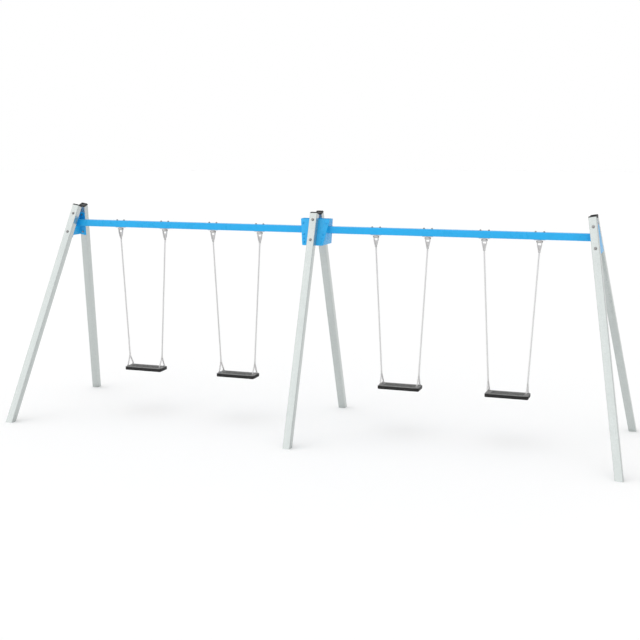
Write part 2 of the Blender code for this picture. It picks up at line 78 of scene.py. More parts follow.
# ---- sizes a user would change ------------------------------------------------------------
class FrameSizes(bpy.types.PropertyGroup):
    """Legs, beams and the steel sheet that joins them."""

    apex: FloatProperty(name="Apex height", description="Height the legs' slopes are measured from",
                        default=2.400, unit="LENGTH")
    bay: FloatProperty(name="Bay", description="Centre frame to an end frame at the apex height",
                       default=2.940, unit="LENGTH")
    lean: FloatProperty(name="End lean", description="Outward lean of the end frames",
                        default=radians(10), subtype="ANGLE")
    spread: FloatProperty(name="Leg spread", description="Each leg from its frame's middle line",
                          default=radians(20), subtype="ANGLE")
    offset: FloatProperty(name="Leg offset", description="Leg centre line from the middle at the apex height",
                          default=0.070, unit="LENGTH")
    tube: FloatProperty(name="Leg tube", description="Side of the square leg tube",
                        default=0.080, unit="LENGTH")
    wall: FloatProperty(name="Tube wall", description="Wall of the square tubes",
                        default=0.004, unit="LENGTH")
    corner: FloatProperty(name="Tube corner", description="Outside radius of the square tubes' corners",
                          default=0.0065, unit="LENGTH")
    end_top: FloatProperty(name="End leg top",
                           description="End legs' cut ends from the apex height, along the leg",
                           default=0.0085, unit="LENGTH")
    centre_top: FloatProperty(name="Centre leg top", description="The same for the centre legs",
                              default=-0.0185, unit="LENGTH")
    cap: FloatProperty(name="Cap", description="Height of a cap's rim", default=0.010, unit="LENGTH")
    flange: FloatProperty(name="Flange", description="Folded sheet of the brackets and saddles",
                          default=0.005, unit="LENGTH")
    fold: FloatProperty(name="Fold", description="Outside radius of the folds",
                        default=0.009, unit="LENGTH")
    plate: FloatProperty(name="Wide plate", description="Sheet of the wide centre plates",
                         default=0.006, unit="LENGTH")
    plate_half: FloatProperty(name="Plate half width", description="Half width of a centre plate's top edge",
                              default=0.1655, unit="LENGTH")
    saddle: FloatProperty(name="Saddle flange", description="Width of a saddle's flanges",
                          default=0.050, unit="LENGTH")


class BoltSizes(bpy.types.PropertyGroup):
    """Studs, washers and domed nuts."""

    leg_across: FloatProperty(name="Leg nut", description="Leg nut across its flats",
                              default=0.0240, unit="LENGTH")
    leg_washer: FloatProperty(name="Leg washer", description="Radius of the washer on a leg",
                              default=0.0165, unit="LENGTH")
    plate_across: FloatProperty(name="Plate nut", description="Plate nut across its flats",
                                default=0.0160, unit="LENGTH")
    plate_washer: FloatProperty(name="Plate washer", description="Radius of the washer on a plate",
                                default=0.0115, unit="LENGTH")
    beam_across: FloatProperty(name="Beam nut", description="Beam nut across its flats",
                               default=0.0185, unit="LENGTH")
    beam_washer: FloatProperty(name="Beam washer", description="Radius of the washer on a beam",
                               default=0.0125, unit="LENGTH")
    plate_inset: FloatProperty(name="Plate bolt inset", description="Bolt row from a plate's slanted edge",
                               default=0.024, unit="LENGTH")


class SwingSizes(bpy.types.PropertyGroup):
    """Bearings, stirrups, chains and seats."""

    housing: FloatProperty(name="Housing", description="Radius of the bearing housing",
                           default=0.013, unit="LENGTH")
    cheek: FloatProperty(name="Cheek", description="Half the width over the stirrup's cheeks",
                         default=0.0265, unit="LENGTH")
    bar: FloatProperty(name="Stirrup bar", description="Thickness of the stirrup's flat bar",
                       default=0.0078, unit="LENGTH")
    bar_width: FloatProperty(name="Bar width", description="Width of the stirrup's flat bar",
                             default=0.0225, unit="LENGTH")
    drop: FloatProperty(name="Stirrup drop", description="Axis to the stirrup's lower face",
                        default=0.092, unit="LENGTH")
    wire: FloatProperty(name="Link wire", description="Diameter of the chain's wire",
                        default=0.006, unit="LENGTH")
    pitch: FloatProperty(name="Link pitch", description="Inside length of a link",
                         default=0.0185, unit="LENGTH")
    link_width: FloatProperty(name="Link width", description="Outside width of a link",
                              default=0.0205, unit="LENGTH")
    ring: FloatProperty(name="Fork ring", description="Radius of the ring where a chain forks",
                        default=0.0150, unit="LENGTH")
    ring_wire: FloatProperty(name="Ring wire", description="Diameter of the rings' wire",
                             default=0.007, unit="LENGTH")
    lug_x: FloatProperty(name="Lug x", description="Seat lugs from the seat's middle, along it",
                         default=0.205, unit="LENGTH")
    lug_y: FloatProperty(name="Lug y", description="Seat lugs from the seat's middle, across it",
                         default=0.060, unit="LENGTH")
    ribs: IntProperty(name="Seat ribs", description="Raised ribs along the seat's top",
                      default=9, min=3, max=15)


class FinishColours(bpy.types.PropertyGroup):
    """Colours of the finishes."""

    zinc: FloatVectorProperty(name="Galvanised steel", description="Galvanised tube",
                              default=(0.545, 0.580, 0.570), subtype="COLOR", min=0, max=1)
    bright: FloatVectorProperty(name="Bright steel", description="Zinc plated bearings, bolts and chain",
                                default=(0.46, 0.455, 0.455), subtype="COLOR", min=0, max=1)
    blue: FloatVectorProperty(name="Blue powder coat", description="Beams and brackets",
                              default=(0.018, 0.400, 0.80), subtype="COLOR", min=0, max=1)
    plastic: FloatVectorProperty(name="Black plastic", description="Tube caps",
                                 default=(0.016, 0.016, 0.017), subtype="COLOR", min=0, max=1)
    rubber: FloatVectorProperty(name="Black rubber", description="Seats",
                                default=(0.013, 0.013, 0.0135), subtype="COLOR", min=0, max=1)


class StageSettings(bpy.types.PropertyGroup):
    """Floor, light and camera."""

    eye: FloatVectorProperty(name="Camera place", description="Where the camera stands",
                             default=(4.011, -11.508, 3.239), subtype="XYZ", unit="LENGTH")
    turn: FloatProperty(name="Camera turn", description="Camera's turn from the Y axis towards -X",
                        default=radians(19.056), subtype="ANGLE")
    tip: FloatProperty(name="Camera tip", description="Camera's tip below the horizon",
                       default=radians(9.461), subtype="ANGLE")
    lens: FloatProperty(name="Lens", description="Focal length on a 36 mm sensor",
                        default=62.875, unit="CAMERA")
    floor: FloatVectorProperty(name="Floor", description="Colour of the studio floor",
                               default=(0.97, 0.97, 0.97), subtype="COLOR", min=0, max=1)
    reach: FloatProperty(name="Floor reach", description="Radius of the studio floor",
                         default=90.0, unit="LENGTH")


# ---- mesh makers --------------------------------------------------------------------------
MERGE = 0.00001                 # how near two points count as one
CHAMFER = 0.001
SHEARED = 0.0009                # round of a sheet's or a flat bar's cut edges
PLATE_EASE = 0.0010             # round of a plate's edges
TUBE_STEPS, FOLD_STEPS = 5, 6   # facets round a tube's corner and round a fold

# A nut's sizes are shares of its width across the flats, and a washer's are shares of its radius.
NUT_HIGH, NUT_EASE = 0.30, 0.035
DOME_RADIUS, DOME_HIGH, DOME_SUNK = 0.46, 0.30, 0.03
PLAIN_HIGH, STUD_RADIUS, STUD_PROUD = 0.42, 0.27, 0.14
WASHER_THICK = 0.15


def box(low, high):
    """A box between two corners."""
    bm = bmesh.new()
    bmesh.ops.create_cube(bm, size=1.0)
    low, high = Vector(low), Vector(high)
    bmesh.ops.scale(bm, vec=high - low, verts=bm.verts)
    bmesh.ops.translate(bm, vec=(low + high) / 2, verts=bm.verts)
    return bm


def edges_along(bm, axis):
    """Edges that lie along one axis, 0 to 2."""
    def lies(edge):
        return abs((edge.verts[0].co - edge.verts[1].co).normalized()[axis]) > 0.99
    return [edge for edge in bm.edges if lies(edge)]


def bevel(bm, edges, width, segments):
    """Round edges to a width."""
    bmesh.ops.bevel(bm, geom=edges, offset=width, segments=segments, profile=0.5, affect="EDGES",
                    clamp_overlap=True, material=-1)


def ease(bm, width, segments=2, limit=radians(40)):
    """Round every edge that turns by more than a limit."""
    bm.normal_update()
    sharp = [edge for edge in bm.edges if edge.is_manifold and edge.calc_face_angle() > limit]
    bevel(bm, sharp, width, segments)


def facing(bm, axis, sign):
    """Faces that look along one axis, within about 25 degrees."""
    bm.normal_update()
    return [face for face in bm.faces if face.normal[axis] * sign > 0.9]


def largest(bm, sign):
    """The largest face that looks up or down, in a list."""
    return [max(facing(bm, 2, sign), key=lambda face: face.calc_area())]


def drop_faces(bm, faces):
    """Delete faces, and what only they used."""
    bmesh.ops.delete(bm, geom=faces, context="FACES")


def push(bm, faces, inset, distance):
    """Inset faces as one region and move the middle along its normal."""
    bmesh.ops.inset_region(bm, faces=faces, thickness=inset, depth=distance, use_even_offset=True)


def cut(bm, place, normal, panel=None):
    """Split the whole mesh, or only a panel's faces, along a plane."""
    faces = bm.faces[:] if panel is None else panel
    chosen = set(faces)
    edges = [edge for edge in bm.edges if not chosen.isdisjoint(edge.link_faces)]
    verts = [vert for vert in bm.verts if not chosen.isdisjoint(vert.link_faces)]
    bmesh.ops.bisect_plane(bm, geom=verts + edges + faces, plane_co=place, plane_no=normal, dist=MERGE)


def turned(profile, sides):
    """A closed turned solid: profile is (radius, height) pairs that start and end on the axis."""
    bm = bmesh.new()
    verts = [bm.verts.new((radius, 0.0, height)) for radius, height in profile]
    edges = [bm.edges.new(pair) for pair in zip(verts, verts[1:])]
    bmesh.ops.spin(bm, geom=verts + edges, cent=(0, 0, 0), axis=(0, 0, 1), dvec=(0, 0, 0), angle=2 * pi,
                   steps=sides, use_merge=True, use_duplicate=False)
    bmesh.ops.remove_doubles(bm, verts=bm.verts, dist=MERGE)
    bmesh.ops.recalc_face_normals(bm, faces=bm.faces)
    return bm


def pin(radius, low, high, sides, chamfer=0.0):
    """A round pin along Z between two heights, with or without a chamfer at its top."""
    end = [(radius, high - chamfer), (radius - chamfer, high)] if chamfer else [(radius, high)]
    return turned([(0, low), (radius, low), *end, (0, high)], sides)


def ring(radius, wire, steps, sides, angle=2 * pi, start=0.0):
    """Round wire bent to a ring, or to part of one, in the XZ plane."""
    bm = bmesh.new()
    made = bmesh.ops.create_circle(bm, segments=sides, radius=wire / 2, cap_ends=angle < 2 * pi)
    bmesh.ops.translate(bm, vec=(radius, 0, 0), verts=bm.verts)
    bmesh.ops.rotate(bm, cent=(0, 0, 0), matrix=Matrix.Rotation(start, 3, "Y"), verts=made["verts"])
    whole = angle >= 2 * pi
    bmesh.ops.spin(bm, geom=bm.edges[:] + bm.faces[:], cent=(0, 0, 0), axis=(0, -1, 0), dvec=(0, 0, 0),
                   angle=angle, steps=steps, use_merge=whole, use_duplicate=False)
    bmesh.ops.recalc_face_normals(bm, faces=bm.faces)
    return bm


def joined(*parts):
    """One bmesh of several (bmesh, matrix) parts, each still a closed body; the parts are used up."""
    whole = bmesh.new()
    for part, matrix in parts:
        if matrix is not None:
            part.transform(matrix)
        mesh = bpy.data.meshes.new("part")
        part.to_mesh(mesh)
        part.free()
        whole.from_mesh(mesh)
        bpy.data.meshes.remove(mesh)
    return whole


def square_tube(size, wall, corner, low, high):
    """A hollow square tube along Z with rounded corners inside and out."""
    half = size / 2
    bm = box((-half, -half, low), (half, half, high))
    drop_faces(bm, facing(bm, 2, 1) + facing(bm, 2, -1))
    bevel(bm, edges_along(bm, 2), corner, TUBE_STEPS)
    bmesh.ops.solidify(bm, geom=bm.faces[:], thickness=wall)
    return bm


def folded_channel(x_open, x_web, half_width, low, high, slope, sheet, fold):
    """A folded sheet: a web at x_web and a flange each side of it, open at x_open and at both ends."""
    bm = box((min(x_open, x_web), -1, low), (max(x_open, x_web), 1, high))
    outward = 1 if x_web > x_open else -1
    drop_faces(bm, facing(bm, 2, 1) + facing(bm, 2, -1) + facing(bm, 0, -outward))
    for vert in bm.verts:
        vert.co.y *= half_width(vert.co.z)
        vert.co.x += slope * vert.co.z
    bevel(bm, [edge for edge in bm.edges if len(edge.link_faces) == 2], fold, FOLD_STEPS)
    bmesh.ops.solidify(bm, geom=bm.faces[:], thickness=sheet)
    ease(bm, SHEARED, 2, radians(60))
    return bm


def hexagon(across, low, high):
    """A six-sided nut body between two heights, its corners eased."""
    radius = across / 2 / cos(pi / 6)
    bm = bmesh.new()
    bmesh.ops.create_cone(bm, cap_ends=True, segments=6, radius1=radius, radius2=radius, depth=high - low,
                          matrix=Matrix.Translation((0, 0, (low + high) / 2)))
    ease(bm, across * NUT_EASE, 2)
    return bm


def washer(radius, thick):
    """A flat washer, eased on top."""
    return pin(radius, 0, thick, 28, thick * 0.3)


def dome(radius, base, high, steps=6, sides=20):
    """Half an egg that stands on a height."""
    turns = [step * pi / 2 / steps for step in range(steps)]
    arc = [(radius * cos(turn), base + high * sin(turn)) for turn in turns]
    return turned([(0, base), *arc, (0, base + high)], sides)


def domed_nut(across, washer_radius, place):
    """Washer, hexagon and dome on a face, as (bmesh, matrix) parts."""
    thick = washer_radius * WASHER_THICK
    top = thick + across * NUT_HIGH
    egg = dome(across * DOME_RADIUS, top - across * DOME_SUNK, across * DOME_HIGH)
    return [(washer(washer_radius, thick), place), (hexagon(across, thick, top), place), (egg, place)]


def plain_nut(across, place):
    """Hexagon and stud end on a sheet's inner side, as (bmesh, matrix) parts."""
    high = across * PLAIN_HIGH
    stud = pin(across * STUD_RADIUS, 0, high + across * STUD_PROUD, 16, CHAMFER)
    return [(hexagon(across, 0, high), place), (stud, place)]


def piece(name, bm, finish, body, stands_for=(), smooth=radians(35)):
    """Make a mesh object with a finish, let it ride on a body and stand for CAD nodes."""
    mesh = bpy.data.meshes.new(name)
    bm.to_mesh(mesh)
    bm.free()
    mesh.materials.append(bpy.data.materials[finish])
    mesh.shade_smooth()
    mesh.set_sharp_from_angle(angle=smooth)
    made = bpy.data.objects.new(name, mesh)
    bpy.context.scene.collection.objects.link(made)
    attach(made, body)
    if stands_for:
        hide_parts(*stands_for)
    return made


def leg_top(sizes, name):
    """Cut end of a leg's tube, along the leg."""
    return sizes.centre_top if name == "centre" else sizes.end_top


def frame_matrix(sizes, name):
    """Axes of one A-frame."""
    lean = LEANS[name]
    return Matrix.Translation((-lean * sizes.bay, 0, sizes.apex)) @ Matrix.Rotation(lean * sizes.lean, 4, "Y")


def leg_matrix(sizes, name, side):
    """Axes of one leg: z up the tube, origin level with the apex."""
    return (frame_matrix(sizes, name) @ Matrix.Translation((0, side * sizes.offset, 0))
            @ Matrix.Rotation(side * sizes.spread, 4, "X"))


def leg_face(sizes, name, side, x, down, depth, outward):
    """Axes of a bolt on a face across a leg: z points away from the metal, depth is from the leg's middle."""
    turn = Matrix.Rotation(-side * outward * pi / 2, 4, "X")
    return leg_matrix(sizes, name, side) @ Matrix.Translation((x, side * depth, -down)) @ turn


def inside(sizes, depth):
    """Half width at each height of a surface that lies a depth inside the legs' inner faces."""
    def half_width(z):
        return sizes.offset - (sizes.tube / 2 + depth) / cos(sizes.spread) - z * tan(sizes.spread)
    return half_width


def plate_edge(sizes, z):
    """Half width of a wide centre plate at a height from the apex."""
    return sizes.plate_half + (z + sizes.apex - SHEET_HIGH.z) * tan(sizes.lean)


# ---- legs, caps and beams -----------------------------------------------------------------
LEG_BOLTS = (0.092, 0.316)      # bolt rows along a leg from the apex height
PLATE_BOLTS = (0.107, 0.235, 0.278, 0.321)
LEG_LONG = 2.6                  # a leg's length before its foot is cut level with the ground
INNER_NUT = 0.85                # a leg's inside nut, of the domed one
BEAM_CORNER = 0.85              # a beam's corner radius, of the legs'
CAP_ROUND, CAP_BORDER = 0.0024, 0.0090
CAP_STEP, CAP_SUNK = 0.0008, 0.0009
PLUG_PLAY, PLUG_TAPER, PLUG_LONG = 0.0010, 0.0004, 0.020
PLUG_WALL, PLUG_HOLLOW = 0.0025, 0.016
WELD_RADIUS = 0.0034
WELD_RIPPLE = 0.14              # how much a bead swells and thins, of its radius
WELD_IN, WELD_OFF = 0.0015, 0.0005      # a bead's middle from the beam's end and off its faces


def build_leg(sizes, name, side_name):
    """A square tube whose foot is cut level with the ground."""
    side = LEG_SIDES[side_name]
    matrix = leg_matrix(sizes, name, side)
    bm = square_tube(sizes.tube, sizes.wall, sizes.corner, -LEG_LONG, leg_top(sizes, name))
    foot = [vert for vert in bm.verts if vert.co.z < -LEG_LONG / 2]
    bm.transform(matrix)
    up = matrix.to_3x3() @ Vector((0, 0, 1))
    for vert in foot:
        vert.co -= up * (vert.co.z / up.z)
    node = f"leg_{name}_{side_name}"
    piece(node + "_tube", bm, "galvanised", "frame", [node])


def build_leg_bolts(sizes, bolts, name, side_name):
    """Domed nuts on the leg's outer face and plain nuts on the sheet inside."""
    side = LEG_SIDES[side_name]
    sheet = sizes.plate if name == "centre" else sizes.flange
    half = sizes.tube / 2
    parts = []
    for down in LEG_BOLTS:
        outer = leg_face(sizes, name, side, 0, down, half + GAP, 1)
        inner = leg_face(sizes, name, side, 0, down, -half - GAP - sheet, -1)
        parts += domed_nut(bolts.leg_across, bolts.leg_washer, outer)
        parts += plain_nut(bolts.leg_across * INNER_NUT, inner)
    piece(f"leg_bolts_{name}_{side_name}", joined(*parts), "bright", "frame")


def build_cap(sizes, name, side_name):
    """A moulded cap: a rim with a sunk panel, and a hollow plug inside the tube."""
    half = sizes.tube / 2
    base = leg_top(sizes, name) + GAP
    bm = box((-half, -half, base), (half, half, base + sizes.cap))
    bevel(bm, edges_along(bm, 2), sizes.corner, TUBE_STEPS)
    bevel(bm, list(largest(bm, 1)[0].edges), CAP_ROUND, 3)
    push(bm, facing(bm, 2, 1), CAP_BORDER, 0.0)
    push(bm, largest(bm, 1), CAP_STEP, -CAP_SUNK)
    push(bm, facing(bm, 2, -1), sizes.wall + PLUG_PLAY, 0.0)
    push(bm, largest(bm, -1), PLUG_TAPER, PLUG_LONG)
    push(bm, largest(bm, -1), PLUG_WALL, -PLUG_HOLLOW)
    bm.transform(leg_matrix(sizes, name, LEG_SIDES[side_name]))
    node = f"cap_{name}_{side_name}"
    piece(node + "_moulding", bm, "plastic", "frame", [node])


def beam_span(sizes):
    """Places of a beam's inner and outer ends on its centre line."""
    half = (BEAM_HIGH.z - BEAM_LOW.z) / 2
    return BEAM_LOW.x + half * tan(sizes.lean), BEAM_HIGH.x - half * tan(sizes.lean)


def build_beam(sizes, name):
    """A square tube whose ends are cut to the slopes of the saddle and the end bracket."""
    end = BEAM_ENDS[name]
    start, stop = beam_span(sizes)
    half = (stop - start) / 2
    middle = end * (start + stop) / 2
    bm = square_tube(BEAM_HIGH.y - BEAM_LOW.y, sizes.wall, sizes.corner * BEAM_CORNER, -half, half)
    bm.transform(Matrix.Translation((middle, 0, BEAM_Z)) @ Matrix.Rotation(pi / 2, 4, "Y"))
    for vert in bm.verts:
        near_centre = abs(vert.co.x) < abs(middle)
        vert.co.x += (end if near_centre else -end) * tan(sizes.lean) * (vert.co.z - BEAM_Z)
    piece(f"beam_{name}_tube", bm, "blue", "frame", [f"beam_{name}"])


def weld_bead(name, outline, body):
    """A rippled bead along a closed outline."""
    curve = bpy.data.curves.new(name, "CURVE")
    curve.dimensions = "3D"
    curve.bevel_depth = WELD_RADIUS
    curve.bevel_resolution = 2
    spline = curve.splines.new("POLY")
    spline.points.add(len(outline) - 1)
    spline.use_cyclic_u = True
    for index, (point, place) in enumerate(zip(spline.points, outline)):
        point.co = (*place, 1)
        point.radius = 1 + WELD_RIPPLE * sin(index * pi / 2)
    helper = bpy.data.objects.new(name + "_curve", curve)
    bpy.context.scene.collection.objects.link(helper)
    shape = bpy.data.meshes.new_from_object(helper.evaluated_get(bpy.context.evaluated_depsgraph_get()))
    bpy.data.objects.remove(helper)
    bm = bmesh.new()
    bm.from_mesh(shape)
    bpy.data.meshes.remove(shape)
    bmesh.ops.recalc_face_normals(bm, faces=bm.faces)
    piece(name, bm, "blue", body)


def beam_outline(sizes, x, slope, side_steps=30, corner_steps=9):
    """Closed outline round a beam on a sloping face."""
    half = (BEAM_HIGH.y - BEAM_LOW.y) / 2 + WELD_OFF
    flat = half - sizes.corner
    turns = [pi / 2 * step / corner_steps for step in range(corner_steps)]
    places = []
    for quarter in range(4):
        turn = Matrix.Rotation(quarter * pi / 2, 2)
        run = [Vector((half, -flat + 2 * flat * step / side_steps)) for step in range(side_steps)]
        arc = [Vector((flat + sizes.corner * cos(a), flat + sizes.corner * sin(a))) for a in turns]
        places += [turn @ place for place in run + arc]
    return [(x + slope * place.y, place.x, BEAM_Z + place.y) for place in places]


def build_welds(sizes, name):
    """Beads where a beam meets its saddle and its end bracket."""
    end = BEAM_ENDS[name]
    start, stop = beam_span(sizes)
    slope = end * tan(sizes.lean)
    weld_bead(f"weld_{name}_saddle", beam_outline(sizes, end * (start + WELD_IN), slope), "frame")
    weld_bead(f"weld_{name}_bracket", beam_outline(sizes, end * (stop - WELD_IN), -slope), "frame")


# ---- brackets, plates and saddles ---------------------------------------------------------
PLATE_CORNER = 0.007


def build_end_bracket(sizes, name):
    """A folded channel between an end frame's legs, its web on the outer side."""
    outward = -LEANS[name]
    half = sizes.tube / 2
    bm = folded_channel(-outward * half, outward * half, inside(sizes, GAP), SHEET_LOW.z - sizes.apex,
                        SHEET_HIGH.z - sizes.apex, 0.0, sizes.flange, sizes.fold)
    bm.transform(frame_matrix(sizes, name))
    piece(f"end_bracket_{name}_sheet", bm, "blue", "frame", [f"end_bracket_{name}"])


def build_centre_plate(sizes, name):
    """A wide plate on a centre leg's inner face, its corners rounded."""
    side = LEG_SIDES[name]
    shift = sizes.tube / 2 * sin(sizes.spread)
    top, bottom = [(z - sizes.apex + shift) / cos(sizes.spread) for z in (SHEET_HIGH.z, SHEET_LOW.z)]
    near = sizes.tube / 2 + GAP
    low_y, high_y = sorted((-side * near, -side * (near + sizes.plate)))
    bm = box((-1, low_y, bottom), (1, high_y, top))
    for vert in bm.verts:
        level = SHEET_HIGH.z if vert.co.z > (top + bottom) / 2 else SHEET_LOW.z
        vert.co.x *= plate_edge(sizes, level - sizes.apex)
    bevel(bm, edges_along(bm, 1), PLATE_CORNER, 4)
    ease(bm, PLATE_EASE)
    bm.transform(leg_matrix(sizes, "centre", side))
    piece(f"centre_plate_{name}_sheet", bm, "blue", "frame", [f"centre_plate_{name}"])


def build_saddle(sizes, bolts, name):
    """A folded channel between the wide plates, and the bolts that hold it."""
    end = BEAM_ENDS[name]
    depth = GAP + sizes.plate + GAP
    web = end * plate_edge(sizes, 0.0)
    bm = folded_channel(web - end * sizes.saddle, web, inside(sizes, depth), SHEET_LOW.z - sizes.apex,
                        SHEET_HIGH.z - sizes.apex, end * tan(sizes.lean), sizes.flange, sizes.fold)
    bm.transform(frame_matrix(sizes, "centre"))
    piece(f"saddle_{name}_sheet", bm, "blue", "frame", [f"saddle_{name}"])
    parts = []
    half = sizes.tube / 2
    for side in LEG_SIDES.values():
        for down in PLATE_BOLTS:
            level = -down * cos(sizes.spread) - half * sin(sizes.spread)
            x = end * (plate_edge(sizes, level) - bolts.plate_inset)
            outer = leg_face(sizes, "centre", side, x, down, -half, 1)
            inner = leg_face(sizes, "centre", side, x, down, -half - depth - sizes.flange, -1)
            parts += domed_nut(bolts.plate_across, bolts.plate_washer, outer)
            parts += plain_nut(bolts.plate_across, inner)
    piece(f"saddle_bolts_{name}", joined(*parts), "blue", "frame")


# ---- bearings, stirrups and chains --------------------------------------------------------
HANGER_PLATE, HANGER_CORNER = 0.006, 0.010
HOUSING_X, HOUSING_Y = 0.0170, 0.0145   # half length and half width of the cast housing
HOUSING_ROUND, HOUSING_EASE = 0.98, 0.0012      # round of its foot, of the half width, and of its edges
HOUSING_SUNK = 0.001            # how far it goes into the plate above it
BUSH_WALL, BUSH_PROUD = 0.003, 0.001
HEAD_X, HEAD_WASHER, HEAD_ACROSS = 0.0268, 0.0100, 0.0170
HEAD_LOW, HEAD_HIGH = 0.0012, 0.0062    # an axle head's two faces, from the washer's inner face
BEAM_STUD = 0.044               # studs through the beam, from the hanger's middle
YOKE_FOLD, YOKE_FOOT, YOKE_BEND = -0.028, 0.0130, 0.0045
YOKE_ROUND = 0.985              # round of the cheeks' tops, of the half width
YOKE_SLIVER = 0.00003
WEB_TOP, WEB_HALF, WEB_EASE = -0.036, 0.004, 0.0015
EYE_RADIUS = 1.35               # of the rings' wire
EYE_BELOW, EYE_NECK = 0.011, 0.0095     # the eye's middle under the yoke, and the stud's foot over the eye
SWIVEL_STUD, SWIVEL_TOP = 0.0042, 0.013
COLLAR_RADIUS, COLLAR_THICK = 0.0078, 0.003
FORK_X = 0.2095                 # a chain's fork from the seat's middle, along the seat
STRAND_LINKS = 6


def hanger_place(number, hand):
    """Where a hanger's axis crosses its middle."""
    low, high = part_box(f"hanger_{number}{hand}")
    pivot = AXES[f"swing_{number}_to_and_fro"]
    return Vector(((low.x + high.x) / 2, 0, pivot.z))


def bearing(sizes, half_x, half_y, plate_top):
    """The plate under the beam, the cast housing and its bush, round the swing axis."""
    plate = box((-half_x, -half_y, plate_top - HANGER_PLATE), (half_x, half_y, plate_top))
    bevel(plate, edges_along(plate, 2), HANGER_CORNER, 6)
    ease(plate, PLATE_EASE)
    housing_top = plate_top - HANGER_PLATE + HOUSING_SUNK
    housing = box((-HOUSING_X, -HOUSING_Y, -HOUSING_Y), (HOUSING_X, HOUSING_Y, housing_top))
    rounds = [edge for edge in edges_along(housing, 0) if edge.verts[0].co.z < 0]
    bevel(housing, rounds, HOUSING_Y * HOUSING_ROUND, 8)
    ease(housing, HOUSING_EASE, 2, radians(60))
    bush_end = HOUSING_X + BUSH_PROUD
    bush = pin(sizes.housing - BUSH_WALL, -bush_end, bush_end, 28)
    return joined((plate, None), (housing, None), (bush, Matrix.Rotation(pi / 2, 4, "Y")))


def build_hanger(sizes, bolts, number, hand):
    """Bearing under the beam, and the nuts on the axle and on the beam."""
    node = f"hanger_{number}{hand}"
    place = hanger_place(number, hand)
    low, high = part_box(node)
    steel = bearing(sizes, (high.x - low.x) / 2, (high.y - low.y) / 2, BEAM_LOW.z - GAP - place.z)
    steel.transform(Matrix.Translation(place))
    piece(node + "_bearing", steel, "bearing", "frame", [node])
    parts = []
    for side in HANDS.values():
        turn = Matrix.Rotation(side * pi / 2, 4, "Y")
        head = Matrix.Translation(place + Vector((side * HEAD_X, 0, 0))) @ turn
        parts += [(washer(HEAD_WASHER, HEAD_LOW), head), (hexagon(HEAD_ACROSS, HEAD_LOW, HEAD_HIGH), head)]
        on_top = Matrix.Translation((place.x + side * BEAM_STUD, 0, BEAM_HIGH.z + GAP))
        parts += domed_nut(bolts.beam_across, bolts.beam_washer, on_top)
    piece(node + "_nuts", joined(*parts), "bright", "frame")


def bent_bar(sizes, half_width):
    """A flat bar bent to a V under the swing axis, its cheeks round on top."""
    bar = box((-1, -half_width, -sizes.drop), (1, half_width, half_width))
    drop_faces(bar, facing(bar, 2, 1) + facing(bar, 1, 1) + facing(bar, 1, -1))
    cut(bar, (0, 0, YOKE_FOLD), (0, 0, 1))
    for vert in bar.verts:
        vert.co.x *= YOKE_FOOT if vert.co.z < YOKE_FOLD - MERGE else sizes.cheek
    tops = [vert for vert in bar.verts if vert.co.z > half_width - MERGE]
    bmesh.ops.bevel(bar, geom=tops, offset=half_width * YOKE_ROUND, segments=10, profile=0.5,
                    affect="VERTICES", material=-1)
    bevel(bar, [edge for edge in edges_along(bar, 1) if edge.is_manifold], YOKE_BEND, 4)
    bmesh.ops.solidify(bar, geom=bar.faces[:], thickness=sizes.bar)
    ease(bar, SHEARED, 2, radians(60))
    bmesh.ops.dissolve_degenerate(bar, dist=YOKE_SLIVER, edges=bar.edges)
    return bar


def build_stirrup(sizes, number, hand):
    """A bent bar that turns on the axle, with a web inside its V."""
    node = f"stirrup_{number}{hand}"
    web = box((-1, -WEB_HALF, sizes.bar / 2 - sizes.drop), (1, WEB_HALF, WEB_TOP))
    for vert in web.verts:
        share = (vert.co.z + sizes.drop) / (YOKE_FOLD + sizes.drop)
        vert.co.x *= YOKE_FOOT + (sizes.cheek - YOKE_FOOT) * share - sizes.bar / 2
    ease(web, WEB_EASE)
    yoke = joined((bent_bar(sizes, sizes.bar_width / 2), None), (web, None))
    yoke.transform(Matrix.Translation(hanger_place(number, hand)))
    piece(node + "_yoke", yoke, "bearing", f"swing_{number}", [node])


def build_swivel_eye(sizes, number, hand):
    """The eye under a stirrup, its stud through the bar and the collar between them."""
    eye_z = eye_drop(sizes)
    eye = ring(sizes.ring_wire * EYE_RADIUS, sizes.ring_wire, 28, 10)
    stud = pin(SWIVEL_STUD, eye_z + EYE_NECK, SWIVEL_TOP - sizes.drop, 14, CHAMFER)
    collar = pin(COLLAR_RADIUS, 0, COLLAR_THICK, 20, CHAMFER)
    under = Matrix.Translation((0, 0, -sizes.drop)) @ Matrix.Rotation(pi, 4, "X")
    swivel = joined((eye, Matrix.Translation((0, 0, eye_z))), (stud, None), (collar, under))
    swivel.transform(Matrix.Translation(hanger_place(number, hand)))
    piece(f"swivel_eye_{number}{hand}", swivel, "bright", f"swing_{number}")


def eye_drop(sizes):
    """Height of the swivel eye's middle from the swing axis."""
    return -sizes.drop - EYE_BELOW


def link_mesh(sizes, pitch, bend_steps=12, sides=6):
    """One welded link round the origin, long along Z and flat in XZ."""
    bend = (sizes.link_width - sizes.wire) / 2
    straight = pitch - 2 * (bend - sizes.wire / 2)
    bm = ring(bend, sizes.wire, bend_steps, sides, start=pi / bend_steps)
    for vert in bm.verts:
        vert.co.z += straight / 2 if vert.co.z > 0 else -straight / 2
    mesh = bpy.data.meshes.new("link")
    bm.to_mesh(mesh)
    bm.free()
    return mesh


